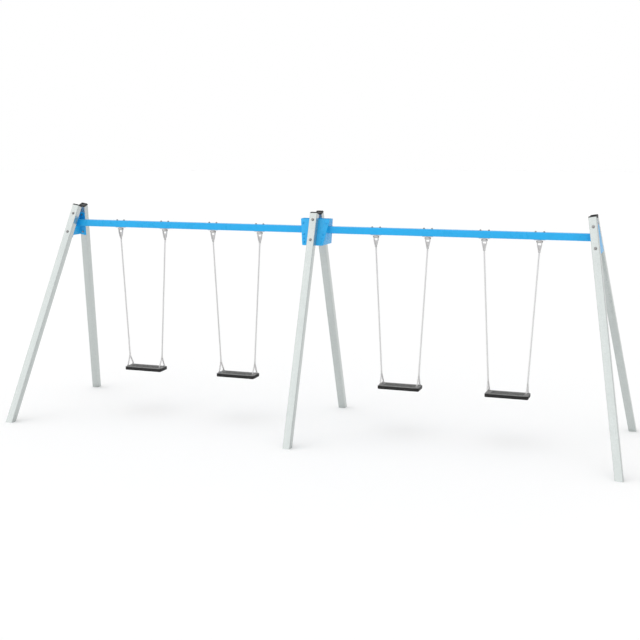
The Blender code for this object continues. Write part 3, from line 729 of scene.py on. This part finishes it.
def strand(sizes, start, end, links, first_turn):
    """A straight run of links between the wire centres of its two outer ends."""
    start, end = Vector(start), Vector(end)
    run = end - start
    pitch = (run.length - sizes.wire) / links
    down = run.normalized()
    across = (Vector((1, 0, 0)) - down * down.x).normalized()
    axes = Matrix((across, down.cross(across), down)).transposed().to_4x4()
    link = link_mesh(sizes, pitch)
    bm = bmesh.new()
    for index in range(links):
        middle = start + down * (sizes.wire / 2 + pitch * (index + 0.5))
        turn = Matrix.Rotation((index + first_turn) * pi / 2, 4, "Z")
        placed = link.copy()
        placed.transform(Matrix.Translation(middle) @ axes @ turn)
        bm.from_mesh(placed)
        bpy.data.meshes.remove(placed)
    bpy.data.meshes.remove(link)
    return bm


def fork_middle(number, hand):
    """Middle of the ring where a chain forks."""
    tilt = AXES[f"seat_{number}_tilt"]
    return Vector((tilt.x + HANDS[hand] * FORK_X, 0, tilt.z))


def build_chain(sizes, number, hand):
    """Short-link chain from the swivel eye down to the fork's ring."""
    node = f"chain_{number}{hand}"
    inside_ring = (sizes.ring_wire + sizes.wire) / 2
    eye = hanger_place(number, hand) + Vector((0, 0, eye_drop(sizes)))
    start = eye - Vector((0, 0, sizes.ring_wire * EYE_RADIUS - inside_ring))
    end = fork_middle(number, hand) + Vector((0, 0, sizes.ring - inside_ring))
    links = 2 * round(((end - start).length - sizes.wire) / sizes.pitch / 2)
    bm = strand(sizes, start, end, links, 1)
    piece(node + "_links", bm, "chain", f"swing_{number}", [node], smooth=radians(70))


def build_fork(sizes, number, hand):
    """Ring at the chain's end and two short strands down to the seat's lugs."""
    node = f"fork_{number}{hand}"
    middle = fork_middle(number, hand)
    inside_ring = (sizes.ring_wire + sizes.wire) / 2
    across = Matrix.Translation(middle) @ Matrix.Rotation(pi / 2, 4, "Z")
    parts = [(ring(sizes.ring, sizes.ring_wire, 32, 10), across)]
    for side in LEG_SIDES.values():
        arch = lug_arch(sizes, number, hand, side)
        toward = (arch - middle).normalized()
        start = middle + toward * (sizes.ring - inside_ring)
        parts.append((strand(sizes, start, arch + toward * sizes.wire, STRAND_LINKS, 0), None))
    piece(node + "_links", joined(*parts), "chain", f"tilt_{number}", [node], smooth=radians(70))


# ---- seats --------------------------------------------------------------------------------
LUG_HIGH, LUG_RADIUS, LUG_SUNK = 0.0190, 0.0080, 0.0006
LUG_WASHER, LUG_WASHER_THICK = 0.0150, 0.0030
LUG_NUT = [(0, 0), (0.0048, 0), (0.0048, 0.0022), (0.0038, 0.0030), (0, 0.0030)]   # its half section
LUG_NUT_UP = 0.0028             # a small nut's foot above the washer's
SEAT_CORNER, SEAT_ROUND = 0.019, 0.0065
SEAM = 0.0009                   # half width and depth of the mould's parting line
SOLE_RIM, SOLE_STEP, SOLE_DEEP = 0.012, 0.002, 0.005
TREAD_RIM, TREAD_STEP, TREAD_DEEP = 0.004, 0.0012, 0.0014
RIB_STEP, RIB_HIGH = 0.0012, 0.0018
RIB_FIELD, RIB_SIDE = 0.022, 0.020      # from the long edges: the ribs' rows, and what no rib's middle passes
RIB_END, RIB_CLEAR = 0.032, 0.040       # from the lugs: the ribs' ends, and what no rib's middle passes
PANEL_FLAT = 0.0002             # how far a panel's faces may lie from its level
POCKETS, POCKET_ROW = 5, 5.5    # pockets in a row, and pockets' lengths in the seat's length
POCKET_WALL, POCKET_DEEP = 0.0035, 0.004


def lug_arch(sizes, number, hand, side):
    """Top of a seat lug's arch, mid wire."""
    tilt = AXES[f"seat_{number}_tilt"]
    return Vector((tilt.x + HANDS[hand] * sizes.lug_x, side * sizes.lug_y, SEAT_HIGH.z + LUG_HIGH))


def lug_parts(sizes, top, base):
    """Washer, arch and two small nuts of a lug, as (bmesh, matrix) parts."""
    bend = ring(LUG_RADIUS, sizes.wire, 14, 10, angle=pi)
    parts = [(washer(LUG_WASHER, LUG_WASHER_THICK), Matrix.Translation((top.x, top.y, base))),
             (bend, Matrix.Translation((top.x, top.y, top.z - LUG_RADIUS)))]
    for foot in (-1, 1):
        shift = Matrix.Translation((top.x + foot * LUG_RADIUS, top.y, 0))
        parts += [(pin(sizes.wire / 2, base, top.z - LUG_RADIUS, 10), shift),
                  (turned(LUG_NUT, 14), shift @ Matrix.Translation((0, 0, base + LUG_NUT_UP)))]
    return parts


def build_lugs(sizes, number):
    """The four arched lugs on a seat."""
    parts = []
    for hand in HANDS:
        for side in LEG_SIDES.values():
            parts += lug_parts(sizes, lug_arch(sizes, number, hand, side), SEAT_HIGH.z - LUG_SUNK)
    piece(f"seat_lugs_{number}", joined(*parts), "bright", f"tilt_{number}")


def panel_level(bm, sign):
    """Height of the largest face that looks up or down."""
    return largest(bm, sign)[0].calc_center_median().z


def panel_faces(bm, sign, level):
    """Flat faces of a sunk panel at one height."""
    return [face for face in facing(bm, 2, sign) if abs(face.calc_center_median().z - level) < PANEL_FLAT]


def cut_seam(bm):
    """The parting line: a fine groove round the seat at half its height."""
    middle = (SEAT_LOW.z + SEAT_HIGH.z) / 2
    for z in (middle - SEAM, middle, middle + SEAM):
        cut(bm, (0, 0, z), (0, 0, 1))
    bm.normal_update()
    for vert in bm.verts:
        if abs(vert.co.z - middle) < SEAM / 2:
            vert.co -= vert.normal * SEAM


def raise_ribs(bm, sizes, half_y):
    """Ribs along the sunk top, clear of the lugs."""
    level = panel_level(bm, 1)
    rows = 2 * sizes.ribs + 1
    pitch = 2 * (half_y - RIB_FIELD) / rows
    for side in (-1, 1):
        cut(bm, (side * (sizes.lug_x - RIB_END), 0, 0), (1, 0, 0), panel_faces(bm, 1, level))
    for index in range(1, rows):
        cut(bm, (0, (index - rows / 2) * pitch, 0), (0, 1, 0), panel_faces(bm, 1, level))
    ribs = []
    for face in panel_faces(bm, 1, level):
        place = face.calc_center_median()
        inside_field = abs(place.x) < sizes.lug_x - RIB_CLEAR and abs(place.y) < half_y - RIB_SIDE
        if inside_field and round(place.y / pitch) % 2 == sizes.ribs % 2:
            ribs.append(face)
    bmesh.ops.inset_individual(bm, faces=ribs, thickness=RIB_STEP, depth=RIB_HIGH)


def mould_pockets(bm, half_x):
    """Two rows of shallow pockets in the sunk underside."""
    level = panel_level(bm, -1)
    pocket = half_x * 2 / POCKET_ROW
    for index in range(1, POCKETS):
        cut(bm, ((index - POCKETS / 2) * pocket, 0, 0), (1, 0, 0), panel_faces(bm, -1, level))
    cut(bm, (0, 0, 0), (0, 1, 0), panel_faces(bm, -1, level))
    pockets = panel_faces(bm, -1, level)
    bmesh.ops.inset_individual(bm, faces=pockets, thickness=POCKET_WALL, depth=-POCKET_DEEP)


def build_seat(sizes, number):
    """A moulded plank: bull-nosed sides, a sunk top with ribs along it, and a hollowed underside."""
    half_x = (SEAT_HIGH.x - SEAT_LOW.x) / 2
    half_y = (SEAT_HIGH.y - SEAT_LOW.y) / 2
    bm = box((-half_x, -half_y, SEAT_LOW.z), (half_x, half_y, SEAT_HIGH.z))
    bevel(bm, edges_along(bm, 2), SEAT_CORNER, 8)
    bevel(bm, list(largest(bm, 1)[0].edges) + list(largest(bm, -1)[0].edges), SEAT_ROUND, 4)
    cut_seam(bm)
    top, under = facing(bm, 2, 1), facing(bm, 2, -1)
    push(bm, under, SOLE_RIM, 0.0)
    push(bm, largest(bm, -1), SOLE_STEP, -SOLE_DEEP)
    push(bm, top, TREAD_RIM, 0.0)
    push(bm, largest(bm, 1), TREAD_STEP, -TREAD_DEEP)
    raise_ribs(bm, sizes, half_y)
    mould_pockets(bm, half_x)
    bm.transform(Matrix.Translation((AXES[f"seat_{number}_tilt"].x, 0, 0)))
    piece(f"seat_{number}_moulding", bm, "rubber", f"tilt_{number}", [f"seat_{number}"], smooth=radians(28))


# ---- node helpers and shared groups -------------------------------------------------------
def add_node(tree, kind, sockets=None, **options):
    """Add a node, set its options, and give its sockets values or links.

    The options come first, because a group node has no sockets before its tree is set.
    """
    made = tree.nodes.new(kind)
    for key, value in options.items():
        setattr(made, key, value)
    for key, value in (sockets or {}).items():
        if isinstance(value, bpy.types.NodeSocket):
            tree.links.new(value, made.inputs[key])
        else:
            made.inputs[key].default_value = value
    return made


def maths(tree, operation, first, second):
    """One sum of two values."""
    return add_node(tree, "ShaderNodeMath", {0: first, 1: second}, operation=operation).outputs[0]


def spread_to(tree, value, low, high, start=0.0, stop=1.0):
    """Map a value from start..stop to low..high."""
    sockets = {"Value": value, "From Min": start, "From Max": stop, "To Min": low, "To Max": high}
    return add_node(tree, "ShaderNodeMapRange", sockets).outputs[0]


def blend_colours(tree, factor, first, second):
    """Mix two colours by a factor."""
    sockets = {0: factor, 6: first, 7: second}
    return add_node(tree, "ShaderNodeMix", sockets, data_type="RGBA").outputs[2]


def new_group(name, inputs, outputs):
    """A node group with float inputs and outputs; returns the tree, its input node and its output node."""
    tree = bpy.data.node_groups.new(name, "ShaderNodeTree")
    for label, default in inputs.items():
        socket = tree.interface.new_socket(label, in_out="INPUT", socket_type="NodeSocketFloat")
        socket.default_value = default
    for label in outputs:
        tree.interface.new_socket(label, in_out="OUTPUT", socket_type="NodeSocketFloat")
    return tree, tree.nodes.new("NodeGroupInput"), tree.nodes.new("NodeGroupOutput")


def build_mottle():
    """Slow and fine variation, 0 to 1, that can be drawn out along Z."""
    tree, given, result = new_group("mottle", {"Scale": 3.0, "Fine Scale": 30.0, "Draw Out": 1.0}, ["Value"])
    place = add_node(tree, "ShaderNodeTexCoord").outputs["Object"]
    stretch = add_node(tree, "ShaderNodeCombineXYZ", {"X": 1.0, "Y": 1.0, "Z": given.outputs["Draw Out"]})
    drawn = add_node(tree, "ShaderNodeVectorMath", {0: place, 1: stretch.outputs[0]}, operation="MULTIPLY")
    sockets = {"Vector": drawn.outputs[0], "Scale": given.outputs["Scale"], "Detail": 4.0}
    slow = add_node(tree, "ShaderNodeTexNoise", sockets).outputs[0]
    sockets = {"Vector": drawn.outputs[0], "Scale": given.outputs["Fine Scale"], "Detail": 3.0}
    fine = add_node(tree, "ShaderNodeTexNoise", sockets).outputs[0]
    both = maths(tree, "ADD", maths(tree, "MULTIPLY", slow, 0.6), maths(tree, "MULTIPLY", fine, 0.4))
    tree.links.new(spread_to(tree, both, 0.0, 1.0, 0.30, 0.70), result.inputs["Value"])


def build_spangle():
    """Zinc crystals: each a flat tone, with a faint line between them."""
    tree, given, result = new_group("spangle", {"Scale": 60.0}, ["Value", "Height"])
    place = add_node(tree, "ShaderNodeTexCoord").outputs["Object"]
    warp = add_node(tree, "ShaderNodeTexNoise", {"Vector": place, "Scale": 90.0, "Detail": 2.0})
    offset = add_node(tree, "ShaderNodeVectorMath", {0: warp.outputs[1], "Scale": 0.006}, operation="SCALE")
    moved = add_node(tree, "ShaderNodeVectorMath", {0: place, 1: offset.outputs[0]}, operation="ADD")
    sockets = {"Vector": moved.outputs[0], "Scale": given.outputs["Scale"]}
    cells = add_node(tree, "ShaderNodeTexVoronoi", sockets)
    tone = add_node(tree, "ShaderNodeSeparateColor", {"Color": cells.outputs["Color"]}).outputs[0]
    tree.links.new(tone, result.inputs["Value"])
    tree.links.new(cells.outputs["Distance"], result.inputs["Height"])


def build_grain():
    """Fine surface relief, such as orange peel or a moulded texture."""
    tree, given, result = new_group("grain", {"Scale": 600.0, "Roughness": 0.5}, ["Height"])
    place = add_node(tree, "ShaderNodeTexCoord").outputs["Object"]
    sockets = {"Vector": place, "Scale": given.outputs["Scale"], "Detail": 2.0,
               "Roughness": given.outputs["Roughness"]}
    noise = add_node(tree, "ShaderNodeTexNoise", sockets)
    tree.links.new(noise.outputs[0], result.inputs["Height"])


def build_dust_and_painted_top_light():
    """Where fine dust settles, and where painted top light brightens the rubber seats: faces that look up, in
    soft patches.
    """
    tree, given, result = new_group("dust_and_painted_top_light", {"Scale": 14.0, "Amount": 0.5}, ["Mask"])
    normal = add_node(tree, "ShaderNodeNewGeometry").outputs["Normal"]
    up = add_node(tree, "ShaderNodeSeparateXYZ", {0: normal}).outputs["Z"]
    place = add_node(tree, "ShaderNodeTexCoord").outputs["Object"]
    sockets = {"Vector": place, "Scale": given.outputs["Scale"], "Detail": 5.0}
    patches = add_node(tree, "ShaderNodeTexNoise", sockets).outputs[0]
    # faces that look up take the paler tint: dust, and on the seats painted top light as well
    lying = spread_to(tree, up, 0.0, 1.0, 0.25, 0.95)
    spotted = maths(tree, "MULTIPLY", lying, spread_to(tree, patches, 0.65, 1.0, 0.35, 0.65))
    tree.links.new(maths(tree, "MULTIPLY", spotted, given.outputs["Amount"]), result.inputs["Mask"])


def use_group(tree, name, sockets):
    """Place a shared group with its own values."""
    return add_node(tree, "ShaderNodeGroup", sockets, node_tree=bpy.data.node_groups[name])


def toned(colour, factor):
    """A colour made lighter or darker, as RGBA."""
    return (*[min(1.0, part * factor) for part in colour], 1.0)


def new_finish(name, metallic, specular=0.5):
    """An empty material; returns its tree and its shader."""
    made = bpy.data.materials.new(name)
    made.use_nodes = True
    shader = made.node_tree.nodes["Principled BSDF"]
    shader.inputs["Metallic"].default_value = metallic
    shader.inputs["Specular IOR Level"].default_value = specular
    return made.node_tree, shader


def dress(tree, shader, colour, roughness, height, relief):
    """Connect a finish's colour, roughness and relief, given as a strength and a depth."""
    strength, depth = relief
    bump = add_node(tree, "ShaderNodeBump", {"Height": height, "Strength": strength, "Distance": depth})
    tree.links.new(colour, shader.inputs["Base Color"])
    tree.links.new(roughness, shader.inputs["Roughness"])
    tree.links.new(bump.outputs[0], shader.inputs["Normal"])


def build_coat(name, colour, tones, mottle, roughness, grain, relief, metallic=0.0, specular=0.5, dust_and_top_light=None):
    """A finish with mottled colour and roughness, a fine relief and, on what looks up, a paler tint: dust,
    which where it is strong is painted top light.

    tones are the darkest and lightest factors of the colour, mottle its slow and fine scales, roughness a
    range, grain the relief's scale and harshness, and the last, for dust and painted top light, a scale, an
    amount and a colour.
    """
    tree, shader = new_finish(name, metallic, specular)
    patches = use_group(tree, "mottle", {"Scale": mottle[0], "Fine Scale": mottle[1]}).outputs[0]
    height = use_group(tree, "grain", {"Scale": grain[0], "Roughness": grain[1]}).outputs[0]
    coat = blend_colours(tree, patches, toned(colour, tones[0]), toned(colour, tones[1]))
    if dust_and_top_light:
        scale, amount, grey = dust_and_top_light
        # mask for a paler tint on upward faces: dust, and where the amount is high a painted highlight of the
        # lit top
        dust_and_top_light_mask = use_group(tree, "dust_and_painted_top_light", {"Scale": scale, "Amount": amount}).outputs[0]
        coat = blend_colours(tree, dust_and_top_light_mask, coat, (*grey, 1.0))
    dress(tree, shader, coat, spread_to(tree, patches, *roughness), height, relief)


def build_galvanised(colours):
    """Hot-dip zinc: soft crystals, streaks down the tube and a satin shine."""
    tree, shader = new_finish("galvanised", 0.75)
    streaks = use_group(tree, "mottle", {"Scale": 5.0, "Fine Scale": 26.0, "Draw Out": 0.16}).outputs[0]
    crystals = use_group(tree, "spangle", {"Scale": 70.0})
    streaked, flat = maths(tree, "MULTIPLY", streaks, 0.6), maths(tree, "MULTIPLY", crystals.outputs[0], 0.4)
    tone = maths(tree, "ADD", streaked, flat)
    colour = blend_colours(tree, tone, toned(colours.zinc, 0.93), toned(colours.zinc, 1.05))
    dress(tree, shader, colour, spread_to(tree, tone, 0.15, 0.26), crystals.outputs["Height"], (0.08, 0.0004))


def build_bright(colours):
    """Zinc plate on nuts, eyes and lugs, a little dulled."""
    build_coat("bright", colours.bright, tones=(0.58, 0.84), mottle=(40.0, 260.0), roughness=(0.22, 0.40),
               grain=(900.0, 0.5), relief=(0.08, 0.0003), metallic=0.95)


def build_bearing_finish(colours):
    """Hot-dipped castings of the bearings: paler and duller than the bolts."""
    build_coat("bearing", colours.bright, tones=(1.05, 1.40), mottle=(30.0, 200.0), roughness=(0.38, 0.55),
               grain=(700.0, 0.5), relief=(0.15, 0.0004), metallic=0.60)


def build_chain_finish(colours):
    """Galvanised links, duller than the bolts."""
    build_coat("chain", colours.bright, tones=(1.25, 1.60), mottle=(30.0, 300.0), roughness=(0.30, 0.46),
               grain=(1400.0, 0.5), relief=(0.12, 0.0003), metallic=0.85)


def build_blue(colours):
    """Powder coat: even colour, orange peel and a semi-gloss that varies a little."""
    build_coat("blue", colours.blue, tones=(0.95, 1.05), mottle=(3.0, 22.0), roughness=(0.24, 0.36),
               grain=(420.0, 0.35), relief=(0.10, 0.0004), specular=0.28,
               dust_and_top_light=(9.0, 0.10, (0.42, 0.50, 0.58)))


def build_plastic(colours):
    """Moulded plastic with a fine spark-eroded texture and a trace of dust."""
    build_coat("plastic", colours.plastic, tones=(0.85, 1.2), mottle=(12.0, 160.0), roughness=(0.38, 0.50),
               grain=(1500.0, 0.7), relief=(0.22, 0.0003), dust_and_top_light=(30.0, 0.12, (0.16, 0.16, 0.155)))


def build_rubber(colours):
    """Moulded rubber: satin with a fine pebble, its upward faces greyer from painted top light and some dust.
    """
    # the strong pale grey on the seats' upward faces is painted top light, standing for the lit top, with a
    # little real dust
    build_coat("rubber", colours.rubber, tones=(0.8, 1.25), mottle=(9.0, 120.0), roughness=(0.42, 0.58),
               grain=(1000.0, 0.6), relief=(0.25, 0.0004), specular=0.18,
               dust_and_top_light=(24.0, 0.72, (0.33, 0.33, 0.325)))


# ---- studio -------------------------------------------------------------------------------
ROOM_DIM, ROOM_BRIGHT = 0.55, 1.14
ROOM_SIDE = (-0.62, -0.48, 0.62)        # where the room is brightest
FLOOR_LIT, FLOOR_SEEN = 0.90, 0.94      # the floor's tone to light and to the camera
SUN_SIDE, SUN_STRENGTH = (-0.55, -0.60, 0.95), 0.6
SUN_WIDTH = radians(100)


def build_world():
    """A white room, brighter from the upper front left than from the right and the back."""
    world = bpy.data.worlds.new("white_room")
    bpy.context.scene.world = world
    world.use_nodes = True
    tree = world.node_tree
    tree.nodes.clear()
    direction = add_node(tree, "ShaderNodeTexCoord").outputs["Generated"]
    toward = Vector(ROOM_SIDE).normalized()
    lit = add_node(tree, "ShaderNodeVectorMath", {0: direction, 1: toward}, operation="DOT_PRODUCT")
    strength = spread_to(tree, lit.outputs["Value"], ROOM_DIM, ROOM_BRIGHT, -1.0, 1.0)
    seen = add_node(tree, "ShaderNodeLightPath").outputs["Is Camera Ray"]
    room = add_node(tree, "ShaderNodeBackground", {"Color": (1, 1, 1, 1), "Strength": strength})
    backdrop = add_node(tree, "ShaderNodeBackground", {"Color": (1, 1, 1, 1), "Strength": 1.0})
    chosen = add_node(tree, "ShaderNodeMixShader", {0: seen, 1: room.outputs[0], 2: backdrop.outputs[0]})
    add_node(tree, "ShaderNodeOutputWorld", {"Surface": chosen.outputs[0]})


def build_floor(stage):
    """A wide pale floor."""
    finish = bpy.data.materials.new("studio_floor")
    finish.use_nodes = True
    tree = finish.node_tree
    shader = tree.nodes["Principled BSDF"]
    seen = add_node(tree, "ShaderNodeLightPath").outputs["Is Camera Ray"]
    colour = blend_colours(tree, seen, toned(stage.floor, FLOOR_LIT), toned(stage.floor, FLOOR_SEEN))
    tree.links.new(colour, shader.inputs["Base Color"])
    shader.inputs["Roughness"].default_value = 0.9
    shader.inputs["Specular IOR Level"].default_value = 0.2
    bm = bmesh.new()
    bmesh.ops.create_circle(bm, cap_ends=True, segments=128, radius=stage.reach)
    mesh = bpy.data.meshes.new("studio_floor")
    bm.to_mesh(mesh)
    bm.free()
    mesh.materials.append(finish)
    floor = bpy.data.objects.new("studio_floor", mesh)
    bpy.context.scene.collection.objects.link(floor)


def build_key_light():
    """One very soft sun from the upper front left."""
    light = bpy.data.lights.new("key", "SUN")
    light.energy = SUN_STRENGTH
    light.angle = SUN_WIDTH
    key = bpy.data.objects.new("key", light)
    key.rotation_euler = Vector(SUN_SIDE).to_track_quat("Z", "Y").to_euler()
    bpy.context.scene.collection.objects.link(key)


def build_camera(stage):
    """The camera at its place."""
    data = bpy.data.cameras.new("camera")
    data.sensor_width = 36
    data.lens = stage.lens
    data.clip_end = 400
    camera = bpy.data.objects.new("camera", data)
    camera.location = stage.eye
    camera.rotation_euler = (pi / 2 - stage.tip, 0, stage.turn)
    bpy.context.scene.collection.objects.link(camera)
    bpy.context.scene.camera = camera


# ---- operators and panel ------------------------------------------------------------------
class SWINGSET_OT_stage(bpy.types.Operator):
    """Build the camera, the floor and the light"""
    bl_idname = "swingset.stage"
    bl_label = "Stage"

    def execute(self, context):
        stage = context.scene.swingset_stage
        build_camera(stage)
        build_world()
        build_floor(stage)
        build_key_light()
        context.scene.view_settings.view_transform = "Standard"
        return {"FINISHED"}


class SWINGSET_OT_finishes(bpy.types.Operator):
    """Build the shared node groups and the materials"""
    bl_idname = "swingset.finishes"
    bl_label = "Finishes"

    def execute(self, context):
        for build in (build_mottle, build_spangle, build_grain, build_dust_and_painted_top_light):
            build()
        colours = context.scene.swingset_colours
        for build in (build_galvanised, build_bright, build_bearing_finish, build_chain_finish, build_blue,
                      build_plastic, build_rubber):
            build(colours)
        return {"FINISHED"}


class SWINGSET_OT_legs(bpy.types.Operator):
    """Build the six legs with their caps and bolts"""
    bl_idname = "swingset.legs"
    bl_label = "Legs"

    def execute(self, context):
        sizes = context.scene.swingset_frame
        for name in LEANS:
            for side_name in LEG_SIDES:
                build_leg(sizes, name, side_name)
                build_cap(sizes, name, side_name)
                build_leg_bolts(sizes, context.scene.swingset_bolts, name, side_name)
        return {"FINISHED"}


class SWINGSET_OT_beams(bpy.types.Operator):
    """Build the two top beams and the welds at their ends"""
    bl_idname = "swingset.beams"
    bl_label = "Beams"

    def execute(self, context):
        sizes = context.scene.swingset_frame
        for name in BEAM_ENDS:
            build_beam(sizes, name)
            build_welds(sizes, name)
        return {"FINISHED"}


class SWINGSET_OT_brackets(bpy.types.Operator):
    """Build the end brackets, the centre plates and the saddles"""
    bl_idname = "swingset.brackets"
    bl_label = "Brackets"

    def execute(self, context):
        sizes = context.scene.swingset_frame
        for name in BEAM_ENDS:
            build_end_bracket(sizes, name)
            build_saddle(sizes, context.scene.swingset_bolts, name)
        for name in LEG_SIDES:
            build_centre_plate(sizes, name)
        return {"FINISHED"}


class SWINGSET_OT_bearings(bpy.types.Operator):
    """Build the hangers under the beams and the stirrups that turn on them"""
    bl_idname = "swingset.bearings"
    bl_label = "Bearings"

    def execute(self, context):
        sizes = context.scene.swingset_swing
        for number in SWINGS:
            for hand in HANDS:
                build_hanger(sizes, context.scene.swingset_bolts, number, hand)
                build_stirrup(sizes, number, hand)
                build_swivel_eye(sizes, number, hand)
        return {"FINISHED"}


class SWINGSET_OT_chains(bpy.types.Operator):
    """Build the chains and the forks at their ends"""
    bl_idname = "swingset.chains"
    bl_label = "Chains"

    def execute(self, context):
        sizes = context.scene.swingset_swing
        for number in SWINGS:
            for hand in HANDS:
                build_chain(sizes, number, hand)
                build_fork(sizes, number, hand)
        return {"FINISHED"}


class SWINGSET_OT_seats(bpy.types.Operator):
    """Build the four seats and their lugs"""
    bl_idname = "swingset.seats"
    bl_label = "Seats"

    def execute(self, context):
        sizes = context.scene.swingset_swing
        for number in SWINGS:
            build_seat(sizes, number)
            build_lugs(sizes, number)
        return {"FINISHED"}


OPERATORS = (SWINGSET_OT_stage, SWINGSET_OT_finishes, SWINGSET_OT_legs, SWINGSET_OT_beams,
             SWINGSET_OT_brackets, SWINGSET_OT_bearings, SWINGSET_OT_chains, SWINGSET_OT_seats)


class SWINGSET_PT_panel(bpy.types.Panel):
    """Lists the swing set's sizes, colours and operators"""
    bl_idname = "SWINGSET_PT_panel"
    bl_label = "Swing Set"
    bl_space_type = "VIEW_3D"
    bl_region_type = "UI"
    bl_category = "Swing Set"

    def draw(self, context):
        for name, group in SETTINGS.items():
            column = self.layout.column(align=True)
            settings = getattr(context.scene, name)
            for key in group.__annotations__:
                column.prop(settings, key)
        for operator in OPERATORS:
            self.layout.operator(operator.bl_idname)


SETTINGS = {"swingset_frame": FrameSizes, "swingset_bolts": BoltSizes, "swingset_swing": SwingSizes,
            "swingset_colours": FinishColours, "swingset_stage": StageSettings}
CLASSES = (*SETTINGS.values(), *OPERATORS, SWINGSET_PT_panel)


def register():
    for made in CLASSES:
        bpy.utils.register_class(made)
    for name, group in SETTINGS.items():
        setattr(bpy.types.Scene, name, PointerProperty(type=group))


def unregister():
    for name in SETTINGS:
        delattr(bpy.types.Scene, name)
    for made in reversed(CLASSES):
        bpy.utils.unregister_class(made)


def main():
    register()
    bpy.ops.swingset.stage()
    bpy.ops.swingset.finishes()
    bpy.ops.swingset.legs()
    bpy.ops.swingset.beams()
    bpy.ops.swingset.brackets()
    bpy.ops.swingset.bearings()
    bpy.ops.swingset.chains()
    bpy.ops.swingset.seats()


if __name__ == "__main__":
    main()
